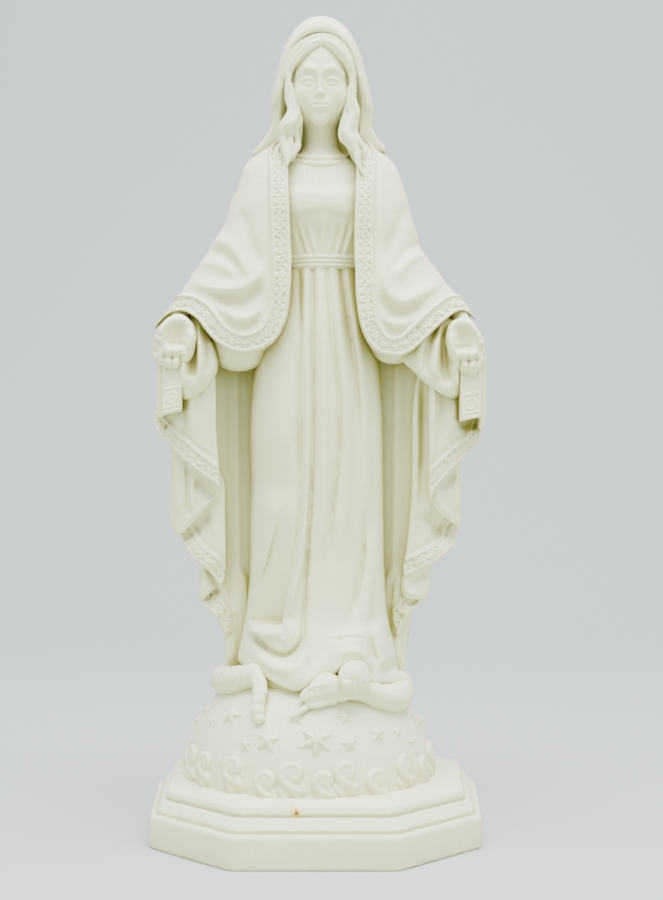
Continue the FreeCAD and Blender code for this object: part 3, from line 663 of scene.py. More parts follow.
def make_bodice():
    """The bodice: gathered under the neckline and into the sash."""
    block = Block((-17, -18, 173), (20, 6, 213), 0.4)
    base = oval(block, TORSO, 2.0)
    relief = block.flat()
    fold = lambda *a, **k: stroke(relief, block, *a, **k)
    for side in (-1, 1):
        fold([(1.8 + side * 5.4, 196), (1.8 + side * 5.8, 190.5), (1.8 + side * 5.0, 186)], 1.1, 4.6)
    fold([(-6, 184), (1.8, 181.6), (10, 184)], -0.7, 3.6)
    # Gathers that open out upwards from the sash, as pairs of ridge and groove.
    for foot, top in ((-3.4, -6.6), (-1.4, -4.4), (0.8, 0.6), (2.8, 4.2), (5.4, 8.0), (7.6, 10.6)):
        fold([(foot, 176), ((foot + top) / 2, 181), (top, 187.5)], [-0.8, -0.75, -0.2], 0.55, 0.8, power=1.3,
             ends=(0, 0.5))
        fold([(foot + 1.0, 176), ((foot + top) / 2 + 1.1, 181), (top + 1.2, 187.0)], [0.6, 0.6, 0.1], 0.8,
             ends=(0, 0.5))
    # Small gathers under the neckline.
    for i in range(9):
        x = -4.6 + i * 1.6
        top = 200.6 + 0.055 * (x - 1.8) ** 2
        fold([(x, top), (1.8 + (x - 1.8) * 1.06, top - 4.4)], -0.32, 0.36, ends=(0, 0.7))
    field = np.maximum(base - lift(relief), block.y - 5.0)
    cast("gown_bodice", block, field, fine_plaster)


def make_sash():
    """A sash of four soft rolls round the waist."""
    low, high = box_mm("sash")
    block = Block((low[0] - 1, -15.5, low[2] - 1), (high[0] + 1, 4, high[2] + 1), 0.3)
    middle, half = (low[2] + high[2]) / 2, (high[2] - low[2]) / 2
    rolls = 0.22 * np.cos((block.z - middle) / half * math.pi * 3.6) * (np.abs(block.z - middle) < half)
    base = oval(block, TORSO, 2.1) - 0.35 - rolls
    field = smax(base, np.abs(block.z - middle - 0.012 * (block.x - 1.6)) - half, 0.9)
    field = np.maximum(field, block.y - 3.0)
    cast("sash", block, field, fine_plaster)


def make_neckline():
    """The rolled double collar: two rings that dip at the front."""
    block = Block((-11, -15, 198), (13.5, 6, 212), 0.3)
    field = None
    for radius, rise, thick in ((8.3, 205.6, 1.0), (9.2, 203.7, 0.95)):
        path = []
        for degrees in range(150, 391, 20):
            t = math.radians(degrees)
            dip = 0.5 - 0.5 * math.sin(t)
            path.append((1.5 + radius * math.cos(t), 0.4 + 1.08 * radius * math.sin(t) * 1.02,
                         rise + 3.8 - 4.6 * dip))
        ring = tube(block, path, [thick, thick], 1.6)
        field = ring if field is None else smin(field, ring, 0.5)
    cast("neckline", block, field, fine_plaster)


# ---------------------------------------------------------------- the mantle

# Sections of the mantle's outside, front panels and back: z, half width, half depth, x, y.
MANTLE = [
    (40, 26.0, 25.0, 0.0, 2.0), (50, 27.0, 24.5, 0.0, 2.0), (62, 29.5, 24.0, 0.0, 2.0),
    (80, 33.0, 23.0, 0.0, 1.5), (100, 38.0, 22.0, 0.0, 1.0), (120, 43.0, 21.0, 0.0, 0.5),
    (140, 47.5, 20.4, 0.2, 0.0), (148, 49.6, 20.2, 0.2, -0.2), (154.5, 49.0, 20.0, 0.2, -0.2),
    (158, 46.6, 19.6, 0.6, -0.2), (162, 43.8, 19.2, 0.9, -0.2), (166, 41.2, 18.8, 0.4, -0.2),
    (170, 38.4, 18.3, 0.0, -0.1), (174, 35.4, 17.8, 0.0, 0.0), (178, 32.8, 17.2, -0.2, 0.0),
    (184, 30.0, 16.8, 0.8, 0.0), (191, 27.6, 16.3, 1.1, 0.3), (198, 25.4, 14.6, 1.3, 0.8),
    (203, 23.8, 12.4, 1.2, 1.2), (206.5, 21.4, 10.2, 1.1, 1.6), (210, 17.4, 8.0, 1.1, 2.0),
    (214, 12.0, 6.0, 1.1, 2.4),
]

# The edge of each front panel from the collar down, round under the forearm and up to the wrist.
CAPE_EDGE_RIGHT = [
    (-8.6, 207), (-8.4, 202), (-8.0, 192), (-7.5, 180), (-7.1, 169.4), (-7.5, 162.9), (-8.3, 156.3),
    (-11.0, 150.2), (-14.8, 146.9), (-20.2, 145.3), (-25.0, 146.0), (-29.9, 148.8), (-33.2, 152.4),
    (-36.0, 156.0), (-40.6, 158.2), (-45.2, 157.0), (-50.0, 152.0),
]
CAPE_EDGE_LEFT = [
    (12.4, 207), (12.2, 202), (11.8, 192), (11.5, 180), (11.6, 171.4), (11.8, 163.2), (12.9, 154.6),
    (14.9, 149.4), (17.9, 145.8), (22.8, 144.2), (27.4, 145.2), (31.4, 148.2), (35.6, 152.3),
    (39.7, 156.0), (43.6, 158.4), (47.2, 157.0), (51.5, 151.0),
]
BORDER = 5.2  # the embroidered border is this wide


def path_field(gx, gz, points):
    """Distance from a curve over (x, z) and how far along it, in mm."""
    path = curve(points, 0.7)
    best = np.full(np.broadcast_shapes(gx.shape, gz.shape), 1e9, np.float32)
    along = np.zeros_like(best)
    run = 0.0
    for a, b in zip(path[:-1], path[1:]):
        d = b - a
        size = d @ d
        t = np.clip(((gx - a[0]) * d[0] + (gz - a[1]) * d[1]) / size, 0, 1)
        gap = (gx - a[0] - t * d[0]) ** 2 + (gz - a[1] - t * d[1]) ** 2
        near = gap < best
        best = np.where(near, gap, best)
        along = np.where(near, run + t * math.sqrt(size), along)
        run += math.sqrt(size)
    return np.sqrt(best), along


def border(block, points, width=BORDER, pitch=5.0, height=0.85):
    """Relief of a border along an edge: a rolled lip, a running scroll and a raised inner line."""
    gap, along = path_field(block.plane_x, block.plane_z, points)
    lip = 0.75 * np.exp(-((gap - 0.6) / 0.55) ** 2)
    line = 0.8 * np.exp(-((gap - width) / 0.45) ** 2) - 0.5 * np.exp(-((gap - width - 1.2) / 0.6) ** 2)
    sunk = -0.3 * soft_step((gap - 0.9) / 0.5) * soft_step((width - 0.3 - gap) / 0.5)
    middle, half = (width + 0.7) / 2, (width - 1.9) / 2
    phase = 2 * math.pi * along / pitch
    vine = np.abs(gap - middle - 0.62 * half * np.sin(phase))
    curl = np.zeros_like(gap)
    for side in (-1, 1):
        centre = (np.round(along / pitch - 0.25 * side) + 0.25 * side) * pitch
        r = np.hypot(along - centre, gap - middle + side * 0.34 * half)
        curl = np.maximum(curl, np.exp(-((r - 0.42 * half) / 0.30) ** 2))
    scroll = np.maximum(np.exp(-(vine / 0.36) ** 2), 0.8 * curl) * (gap < width - 0.3) * (gap > 0.9)
    return (lip + line + sunk + height * scroll).astype(np.float32)


def make_cape(side, word, edge, folds, grooves, lobe):
    """A front panel of the mantle over one arm."""
    reach = 53.0
    block = Block((min(2 * side, side * reach), -24, 139), (max(2 * side, side * reach), 2.4, 214), 0.38)
    base = oval(block, MANTLE, 2.25)
    relief = block.flat()
    for points, height, width, far in folds:
        stroke(relief, block, points, height, width, far)
    for points, height, width, far in grooves:
        stroke(relief, block, points, height, width, far, power=1.35)
    # The flat border keeps clear of the folds and stands a little proud of them.
    gap, _ = path_field(block.plane_x, block.plane_z, edge)
    calm = soft_step((gap - BORDER) / 5.0)
    relief = relief * (0.25 + 0.75 * calm) + 0.9 * (1 - soft_step((gap - BORDER - 0.4) / 2.4))
    relief += border(block, edge) * (1 - soft_step((np.abs(block.plane_x) - 47.5) / 4.0))
    corner = [(side * 57, 146), (side * 57, 216), (edge[0][0], 216)]
    shape = outline(block.plane_x, block.plane_z, list(curve(edge, 1.5)) + corner, smooth=False)
    field = smax(base - lift(relief), lift(shape), 1.2)
    # Behind its rolled edge the panel is hollowed back under the forearm.
    slope = 0.55 - 0.45 * soft_step((np.abs(block.plane_x) - 34) / 7)
    under = lift(shape) + lift(slope + 0 * block.plane_z) * np.maximum(block.y + 11, 0) - 0.4
    field = smax(field, np.where(block.z < 172, under, -9.0), 1.5)
    # The rounded underside of the cloth shows below the rim.
    field = smin(field, ellipsoid(block, lobe[:3], lobe[3:]), 1.6)
    field = np.maximum(field, block.y - 2.0)
    cast(f"cape_{word}", block, field, robe_plaster)


def make_capes():
    right_folds = [
        # Swags from the forearm to the border: ridge, then the hollow under it.
        ([(-39.0, 166.6), (-33.0, 165.2), (-27.0, 164.2), (-21.6, 164.8), (-17.6, 167.6), (-15.4, 173)], 1.9,
         2.2, 1.5),
        ([(-34.4, 162.8), (-28.0, 161.0), (-22.2, 160.6), (-17.6, 163.0), (-14.6, 168)], -1.7, 1.7, 1.9),
        ([(-37.8, 163.4), (-33.4, 161.8), (-29.6, 159.0), (-26.0, 156.6), (-22.0, 155.2), (-18.2, 156.6),
          (-15.2, 161)],
         1.9, 1.9, 1.3),
        ([(-31.0, 156.4), (-27.4, 153.6), (-23.0, 152.2), (-18.6, 153.2), (-15.4, 156.8)], -1.2, 1.3, 1.4),
        # Creases at the elbow.
        ([(-33.6, 181.4), (-29.4, 180.0), (-25.4, 177.0), (-21.6, 171.6), (-19.4, 166)], 0.9, 2.0, 1.5),
        ([(-33.8, 177.4), (-29.4, 176.2), (-25.4, 173.4), (-22.2, 168.6)], -0.8, 1.4, 1.5),
        ([(-36.4, 173.6), (-31.4, 172.8), (-27.0, 171.0), (-23.4, 167.6)], 0.8, 1.5, 1.5),
        # The long fold that runs down from the shoulder.
        ([(-15.2, 206), (-15.8, 195), (-16.0, 184), (-15.6, 172)], 0.5, 1.6, 1.6),
        ([(-22.0, 190), (-20.4, 182), (-18.0, 175), (-16.2, 171)], -0.9, 1.6, 2.2),
    ]
    right_grooves = [([(-13.6, 206), (-14.0, 194), (-14.2, 182), (-14.1, 172), (-14.4, 163)], -0.7, 0.9, 1.2)]
    left_folds = [
        ([(39.0, 168.6), (35.4, 165.6), (31.0, 162.6), (25.6, 160.6), (21.8, 162.8), (20.0, 168),
          (19.4, 176)], 1.9, 1.5, 2.2),
        ([(34.0, 160.8), (29.4, 158.0), (25.0, 156.8), (20.8, 158.6), (18.6, 164)], -1.7, 1.9, 1.7),
        ([(40.0, 164.4), (36.4, 161.4), (32.4, 157.8), (28.0, 154.6), (23.8, 153.6), (20.4, 155.6),
          (18.8, 161)],
         1.9, 1.3, 1.9),
        ([(33.6, 155.6), (30.2, 152.4), (26.4, 150.8), (22.4, 150.8), (19.4, 153.6)], -1.2, 1.4, 1.3),
        ([(34.4, 176.6), (30.6, 174.8), (26.6, 171.6), (23.6, 166.4)], 0.9, 1.5, 1.8),
        ([(33.2, 180.0), (29.2, 178.0), (25.6, 174.6), (23.0, 169.6)], -0.8, 1.5, 1.4),
        ([(18.6, 206), (19.6, 194), (19.8, 182), (19.8, 172)], 0.5, 1.6, 1.6),
        ([(27.0, 192), (24.8, 184), (22.4, 178), (20.6, 172)], -0.8, 2.2, 1.6),
    ]
    left_grooves = [([(17.2, 206), (17.8, 194), (18.0, 182), (17.9, 172), (17.4, 162)], -0.7, 1.2, 0.9)]
    make_cape(-1, "right", CAPE_EDGE_RIGHT, right_folds, right_grooves, (-23.4, -7.6, 147.4, 9.0, 6.2, 7.0))
    make_cape(1, "left", CAPE_EDGE_LEFT, left_folds, left_grooves, (23.4, -7.6, 148.6, 7.0, 5.8, 6.0))


# Half width of the mantle's back where the side falls hide its edge: z, half width, half depth, x, y.
BACK = [
    (40, 26.4, 24.0, 0.0, 2.0), (50, 27.4, 23.6, 0.0, 2.0), (64, 29.0, 23.2, 0.0, 2.0),
    (84, 34.0, 22.4, 0.0, 1.5), (104, 40.0, 21.6, 0.0, 1.0), (124, 46.0, 20.8, 0.0, 0.5),
    (140, 48.6, 20.2, 0.2, 0.0),
] + [row for row in MANTLE if row[0] > 141]


def make_back():
    """The mantle's back: long folds that fan from the shoulders, and its lined inside in front."""
    block = Block((-52, -3, 42), (52, 28, 215), 0.66)
    base = oval(block, BACK, 2.2)
    relief = block.flat()
    fold = lambda *a, **k: stroke(relief, block, *a, **k)
    for i, foot in enumerate((-22, -15, -8.5, -2, 4.5, 11, 17.5, 24)):
        top = foot * 0.42 + 0.8
        bend = 1.6 * math.sin(i * 2.1)
        fold([(foot, 40), (foot * 1.08 + bend, 80), (foot * 0.92 - bend, 125), (top, 176)],
             [2.2, 2.2, 1.5, 0.5], 2.3, 3.0, ends=(0.0, 0.3))
        fold([(foot + 3.3, 40), (foot * 1.08 + 3.6 + bend, 80), (foot * 0.92 + 3.0 - bend, 125),
              (top + 2, 170)],
             [-2.0, -1.9, -1.2, -0.3], 1.4, 1.8, power=1.5, ends=(0.0, 0.3))
    for side in (-1, 1):
        fold([(side * 47, 150), (side * 38, 128), (side * 31, 100), (side * 27, 66)], 1.8, 3.2, 2.4)
        fold([(side * 42, 156), (side * 33, 130), (side * 27.5, 100), (side * 24, 66)], -1.3, 2.2, 2.0)
        for drop, height in ((188, 1.0), (176, 1.3), (162, 1.4), (147, 1.2)):
            fold([(side * 30, drop + 10), (side * 17, drop - 5), (0.5, drop - 12)], height, 2.6, 1.9,
                 ends=(0.25, 0.1))
            fold([(side * 28, drop + 4), (side * 15, drop - 10), (0.5, drop - 17)], -height * 0.7, 2.4,
                 ends=(0.25, 0.1))
    hem = 46.0 + 1.4 * np.sin(block.plane_x * 0.42) + 0.006 * block.plane_x ** 2
    relief += 0.7 * np.exp(-((block.plane_z - hem - 1.2) / 1.0) ** 2)
    field = smax(base - lift(relief), lift(hem + 0 * block.plane_z) - block.z, 1.4)
    # The inside: vertical folds of the lining, deepest beside the gown.
    inside = block.flat(0.6)
    wave = lambda *a, **k: stroke(inside, block, *a, **k)
    for side, places in ((-1, (22.6, 26.0, 29.6, 33.4, 37.6)), (1, (20.8, 23.6, 27.0, 30.6, 34.6))):
        for i, x in enumerate(places):
            wave([(side * (x * 0.93), 40), (side * x, 100), (side * (x * 1.04), 158)],
                 (-1.3, 1.0)[i % 2], 1.5, ends=(0, 0))
    field = smax(field, -lift(inside) - block.y, 0.8)
    cast("mantle_back", block, field, robe_plaster)


def make_fall(side, word, layers):
    """The mantle's front edge falls from the wrist in a zigzag: sheets that step back one behind
    the other, each with an embroidered border along its slanting hem."""
    low_x, high_x = sorted((side * 19.0, side * 53.5))
    block = Block((low_x, -17, 46), (high_x, 3, 163 if side > 0 else 152), 0.4)
    field = None
    for depth, sheet, hem, folds in layers:
        shape = outline(block.plane_x, block.plane_z, sheet)
        relief = block.flat()
        for points, height, width, far in folds:
            stroke(relief, block, points, height, width, far)
        if hem:
            relief += border(block, hem, 4.6, 4.6, 0.9) * (shape < 0.6)
        round_off = 0.06 * np.maximum(np.abs(block.plane_x) - 33, 0) ** 1.6
        front = -block.y + depth + lift(round_off - relief)
        part = smax(front, lift(shape) + 0.10 * np.maximum(block.y - depth, 0), 1.5)
        field = part if field is None else smin(field, part, 0.3)
    # Inside the sheets, the lining turns in towards the gown.
    lining = block.flat()
    for x, height, width in ((24.0, 0.5, 1.1), (27.4, -0.5, 1.2)):
        stroke(lining, block, [(side * (x - 1.2), 46), (side * x, 96), (side * (x + 0.6), 152)], height,
               width, ends=(0, 0.1))
    gap = np.abs(block.plane_x) + 0.035 * np.maximum(100 - block.plane_z, 0) - 20.6
    wall = -block.y - 0.8 - lift(0.28 * np.clip(gap, 0, 9.5) + lining)
    wall = smax(wall, np.abs(block.x) - 33.0 + 0.12 * np.maximum(100 - block.z, 0), 2.0)
    field = smin(field, wall, 2.2)
    field = np.maximum(field, block.y - 2.4)
    cast(f"mantle_fall_{word}", block, field, robe_plaster)


def make_falls():
    right = [
        (-13.0, [(-40, 148), (-46.6, 142), (-48.6, 134), (-49.8, 127), (-49.2, 122.6), (-47.0, 120.2),
                 (-43.0, 116.4), (-38.4, 112.3), (-33.8, 108.8), (-29.9, 106), (-29.0, 103.2), (-28.6, 107),
                 (-29.2, 114), (-29.8, 124), (-30.2, 140), (-33, 148)],
         [(-49.4, 122.8), (-47.0, 120.3), (-43.0, 116.5), (-38.4, 112.4), (-33.8, 108.9), (-29.9, 106),
          (-28.8, 103)],
         [([(-37.2, 144), (-37.2, 130), (-36.8, 117)], 1.5, 1.1, 2.6),
          ([(-41.0, 134), (-39.8, 126), (-39.2, 119)], -1.1, 1.6, 1.3),
          ([(-49.6, 128.4), (-46.6, 125.4), (-43.0, 123.4)], -2.0, 2.6, 1.6),
          ([(-31.2, 140), (-30.8, 124), (-30.2, 110)], -0.8, 1.0, 1.0)]),
        (-10.0, [(-43.8, 120), (-44.4, 110), (-44.9, 100), (-44.6, 94.2), (-43.0, 91.0), (-40.6, 90.8),
                 (-38.0, 93.4), (-35.0, 96.6), (-31.6, 100.6), (-29.0, 104), (-29.4, 112), (-33, 120)],
         None,
         [([(-42.2, 116), (-42.0, 104), (-42.2, 95)], 1.2, 1.3, 1.6),
          ([(-38.9, 114), (-38.8, 104), (-39.1, 96.0)], -1.3, 0.9, 0.7),
          ([(-37.7, 110), (-37.4, 104), (-38.0, 97.6)], 1.2, 1.0, 1.4),
          ([(-37.0, 108.0), (-33.4, 105.4), (-30.0, 101.6)], -2.0, 2.0, 2.4),
          ([(-37.0, 96.2), (-34.0, 99.4), (-31.0, 102.6)], 1.0, 0.9, 0.9)]),
        (-7.4, [(-41, 104), (-42.2, 97), (-42.4, 91.2), (-41.6, 89.6), (-39.0, 85.2), (-35.6, 82.2),
                (-33.2, 80.4), (-30.4, 77), (-28.8, 74.0), (-27.2, 80), (-27.4, 96), (-28.0, 108),
                (-33, 110)],
         [(-42.2, 91.0), (-41.4, 89.4), (-39.0, 85.3), (-35.6, 82.3), (-33.2, 80.5), (-30.4, 77),
          (-28.6, 73.8)],
         [([(-42.4, 91.6), (-39.0, 91.0), (-35.6, 93.6), (-31.6, 98.0)], -1.7, 1.6, 2.2),
          ([(-31.4, 98), (-30.4, 90), (-29.6, 82)], 0.8, 1.4, 1.4),
          ([(-39.6, 87.6), (-34.4, 84.4), (-30.4, 80)], 1.6, 3.2, 3.2)]),
        (-5.8, [(-34, 90), (-35.8, 84), (-36.0, 77.4), (-35.9, 71.8), (-34.8, 70.4), (-32.4, 72.6),
                (-29.8, 75.0), (-28.4, 77.0), (-28.6, 84), (-29.4, 92)],
         None,
         [([(-34.2, 82), (-34.2, 76), (-34.6, 72)], 0.9, 1.0, 1.0),
          ([(-32.4, 82), (-30.8, 78), (-30.4, 74)], -1.0, 1.8, 1.4)]),
        (-4.0, [(-34, 78), (-35.0, 72), (-34.6, 69.4), (-31.6, 66.4), (-29.2, 63.2), (-27.4, 60.4),
                (-25.6, 60.0), (-25.4, 66), (-26.8, 72), (-28.6, 79)],
         [(-35.2, 70.2), (-34.4, 69.3), (-31.5, 66.4), (-29.1, 63.1), (-27.4, 61)],
         [([(-34.6, 70.8), (-31.8, 72.6), (-28.0, 74.8)], -1.4, 1.2, 1.6),
          ([(-32.0, 68.8), (-28.6, 65.4)], 1.2, 2.4, 2.4)]),
        (-2.6, [(-30, 76), (-29.6, 68), (-28.0, 64.4), (-27.2, 61), (-26.9, 57), (-27.4, 52), (-27.8, 48.6),
                (-22.4, 48.2), (-21, 60), (-21.4, 76), (-25, 80)],
         None, [([(-25.4, 72), (-25.2, 62), (-25.4, 50)], 0.9, 1.2, 1.2)]),
    ]
    left = [
        (-13.0, [(43, 153), (48.0, 152.6), (50.6, 149.6), (51.8, 145.4), (51.2, 137), (51.4, 127),
                 (51.2, 122.2), (49.8, 118.6), (45.8, 114.6), (42.2, 111.4), (38.2, 107.4), (35.8, 104.4),
                 (34.8, 101.4), (33.9, 105), (33.8, 120), (34.0, 134), (36, 148)],
         [(51.4, 122.2), (49.8, 118.6), (45.8, 114.6), (42.2, 111.5), (38.2, 107.5), (35.8, 104.5),
          (34.6, 101.2)],
         [([(35.4, 140), (35.2, 124), (35.0, 110)], 1.0, 0.9, 1.2),
          ([(38.6, 136), (38.0, 126), (37.4, 117)], -0.9, 1.2, 1.2),
          ([(42.0, 134), (41.6, 126), (41.0, 120)], 0.8, 1.2, 1.2),
          ([(51.0, 123.6), (47.2, 124.4), (42.6, 123.8)], -2.0, 1.6, 2.4)]),
        (-10.2, [(42, 120), (44.3, 114), (44.5, 104), (44.5, 96), (44.2, 92.6), (42.8, 92.8), (40.4, 94.8),
                 (37.4, 97.2), (35.2, 100.2), (34.4, 103.4), (35.0, 110), (36, 120)],
         None,
         [([(36.0, 108), (36.0, 103), (38.4, 98.8), (42.6, 95.0)], 0.9, 1.0, 1.0),
          ([(42.6, 112), (42.9, 104), (43.0, 97)], 0.7, 1.2, 1.2),
          ([(44.4, 111.6), (40.4, 107.8), (37.2, 104)], -1.4, 1.8, 1.2)]),
        (-7.2, [(38, 122), (42, 104), (43.8, 94), (43.4, 91.2), (42.4, 88.0), (40.5, 85.8), (37.0, 82.9),
                (32.4, 80.6), (29.4, 79.2), (27.0, 78.2), (26.2, 80), (27.4, 88), (28.4, 98), (29.0, 110),
                (29.4, 132), (33, 150), (36, 150)],
         [(43.8, 91.6), (42.5, 88.0), (40.5, 85.9), (37.0, 83.0), (32.4, 80.7), (29.4, 79.3), (26.6, 78.0)],
         [([(43.4, 91.4), (39.0, 91.8), (35.4, 94.4), (33.4, 99)], -2.2, 2.2, 3.0),
          ([(38.0, 90.0), (35.0, 91.4)], -0.8, 2.6, 2.6),
          ([(30.4, 140), (30.4, 112), (29.6, 92)], 0.9, 1.2, 1.2),
          ([(32.8, 140), (32.6, 120), (32.2, 106)], -0.9, 1.0, 1.0),
          ([(41.6, 87.8), (36.0, 84.6), (29.4, 81.6)], 1.6, 3.0, 3.0)]),
        (-6.2, [(27, 82), (25.8, 77), (25.7, 73.6), (27.0, 71.4), (30.0, 70.9), (33.4, 71.2), (34.6, 73.0),
                (35.0, 78), (35.6, 84), (31, 86)],
         None,
         [([(34.4, 82), (30.6, 78.6), (27.6, 76.4), (28.0, 73.4), (33.0, 72.4)], 0.9, 0.9, 0.9),
          ([(33.8, 79.2), (30.0, 77.0), (28.6, 75.4)], -1.3, 1.7, 1.5)]),
        (-4.2, [(25, 78), (33, 76), (33.8, 71.4), (31.2, 69.2), (27.4, 65.4), (26.0, 62.0), (24.6, 59),
                (23.0, 66)],
         [(34.0, 71.6), (31.2, 69.2), (27.4, 65.4), (25.8, 61.6), (24.4, 58.4)],
         [([(33.4, 70.8), (29.0, 70.2), (26.4, 71.0)], -1.4, 1.0, 1.2),
          ([(29.6, 68.4), (26.6, 65)], 1.0, 2.2, 2.2)]),
        (-2.6, [(25, 80), (27.6, 72), (26.8, 64), (25.9, 58), (26.2, 50), (26.0, 48.2), (21.8, 48.2),
                (20.6, 60), (21.0, 76)],
         None, [([(24.2, 74), (24.2, 62), (24.4, 50)], 0.9, 1.2, 1.2)]),
    ]
    make_fall(-1, "right", right)
    make_fall(1, "left", left)


def make_sleeves():
    """The gown's sleeves: a leaf of cloth under each wrist that opens in a narrow slot."""
    outlines = {
        -1: [(34.8, 156), (40, 155.5), (43.5, 150), (43.0, 138), (40.0, 132.0), (36.2, 132.6), (33.2, 134.8),
             (30.6, 138.3), (29.4, 142.0), (30.1, 146.4), (32.4, 151.6)],
        1: [(34.0, 156), (42, 156), (46, 150), (45.6, 138), (42.6, 132.4), (37.9, 133.2), (32.8, 136.8),
            (29.4, 140.2), (25.6, 144.0), (24.2, 149), (29, 153.6)],
    }
    folds = {
        -1: [([(37.0, 153), (36.7, 146), (36.6, 141), (36.9, 137.4)], [-1.4, -3.8, -3.6, -1.6], 1.3, 1.7),
             ([(35.4, 158), (34.9, 150), (34.3, 142), (35.0, 136.6), (38.4, 134.2)], [1.0, 1.6, 1.6, 1.0],
              1.2, 1.2),
             ([(33.6, 155), (32.3, 149), (32.0, 143), (33.0, 138.6)], -0.9, 0.9, 0.9),
             ([(39.3, 147), (39.4, 140), (39.8, 134.6)], 1.2, 1.0, 1.2)],
        1: [([(39.4, 155), (38.7, 147), (38.8, 140), (40.2, 135.4)], [-1.6, -3.8, -3.8, -1.6], 1.4, 1.9),
            ([(39.2, 158), (36.9, 150), (35.6, 142), (35.5, 136.6)], [1.0, 1.8, 1.8, 1.2], 1.2, 1.3),
            ([(36.6, 155), (34.0, 149), (32.8, 142), (32.4, 138.6)], -1.2, 1.0, 1.0),
            ([(33.4, 153), (31.4, 148), (30.2, 143.4)], 0.9, 1.2, 1.2),
            ([(42.2, 146), (42.0, 140), (42.4, 135)], 1.2, 0.9, 1.2)],
    }
    for side, word in ((-1, "right"), (1, "left")):
        low_x, high_x = sorted((side * 21.0, side * 48.0))
        block = Block((low_x, -22, 127), (high_x, 3, 164), 0.36)
        shape = outline(block.plane_x, block.plane_z, [(side * x, z) for x, z in outlines[side]])
        relief = block.flat()
        for points, height, width, far in folds[side]:
            stroke(relief, block, [(side * x, z) for x, z in points], height, width, far, ends=(0.2, 0.15))
        swell = 1.6 * np.exp(-((block.plane_z - 140) / 7.0) ** 2)
        belly = 14.8 + swell - 0.03 * (np.abs(block.plane_x) - 36.5) ** 2
        belly = belly - 0.55 * np.maximum(block.plane_z - 148.5, 0)
        field = smax(-block.y - lift(belly + relief), lift(shape) + 0.12 * np.maximum(block.y + 10, 0), 1.8)
        field = np.maximum(field, block.y - 1.0)
        cast(f"sleeve_{word}", block, field, robe_plaster)


def make_bands():
    """The folded ends of the mantle's border that hang from under each hand."""
    straps = (
        # side, name, middle, half width, foot, lean, and the narrow strip beside it.
        (-1, "right", 42.6, 2.9, 127.6, 0.030, (46.4, 1.0, 126.4)),
        (1, "left", 46.2, 3.1, 125.8, -0.010, (50.0, 1.0, 123.0)),
    )
    for side, word, middle, half, foot, lean, strip in straps:
        low_x, high_x = sorted((side * 38.0, side * 53.0))
        block = Block((low_x, -21, 119), (high_x, -6, 148), 0.28)
        z = block.plane_z
        across = np.abs(block.plane_x) - middle - lean * (140 - z)
        bottom = foot + 0.22 * side * across
        shape = np.maximum(np.abs(across) - half, np.maximum(bottom - z, z - 147))
        rim = 0.55 * np.exp(-((shape + 0.55) / 0.42) ** 2)
        rungs = np.exp(-((z - bottom - 1.9) / 0.35) ** 2) + np.exp(-((z - bottom - 7.4) / 0.35) ** 2)
        knot = np.hypot(across * 1.1, z - bottom - 4.6)
        curls = np.exp(-((knot - 1.55) / 0.32) ** 2) + np.exp(-(knot / 0.5) ** 2)
        relief = rim + (0.5 * rungs + 0.5 * curls) * (shape < -0.8)
        field = smax(-block.y - 16.2 - lift(relief) + 0.10 * (block.z - 136), lift(shape), 0.5)
        beside = np.abs(block.plane_x) - strip[0] - lean * (140 - z)
        edge = smax(np.abs(beside) - strip[1], strip[2] - z + 0 * beside, 0.8)
        field = smin(field, smax(-block.y - 14.6, lift(np.maximum(edge, z - 146)), 0.8), 0.5)
        field = np.maximum(field, block.y + 7.0)
        cast(f"band_{word}", block, field, robe_plaster)


# ---------------------------------------------------------------- head, hair and veil

FACE = (1.3, 227.6)  # X and height of the eye line's middle
HAIRLINE = [
    (1.8, 238.7), (-1.6, 236.8), (-4.6, 233.9), (-6.7, 231.0), (-7.3, 227.6), (-7.0, 223.6), (-6.3, 220.4),
    (-4.9, 217.0), (-4.3, 212), (-4.6, 204), (7.4, 204), (7.4, 212), (8.0, 217.2), (9.2, 220.6), (9.9, 224.2),
    (9.9, 228.2), (8.9, 231.6), (6.9, 234.6), (4.4, 237.1),
]


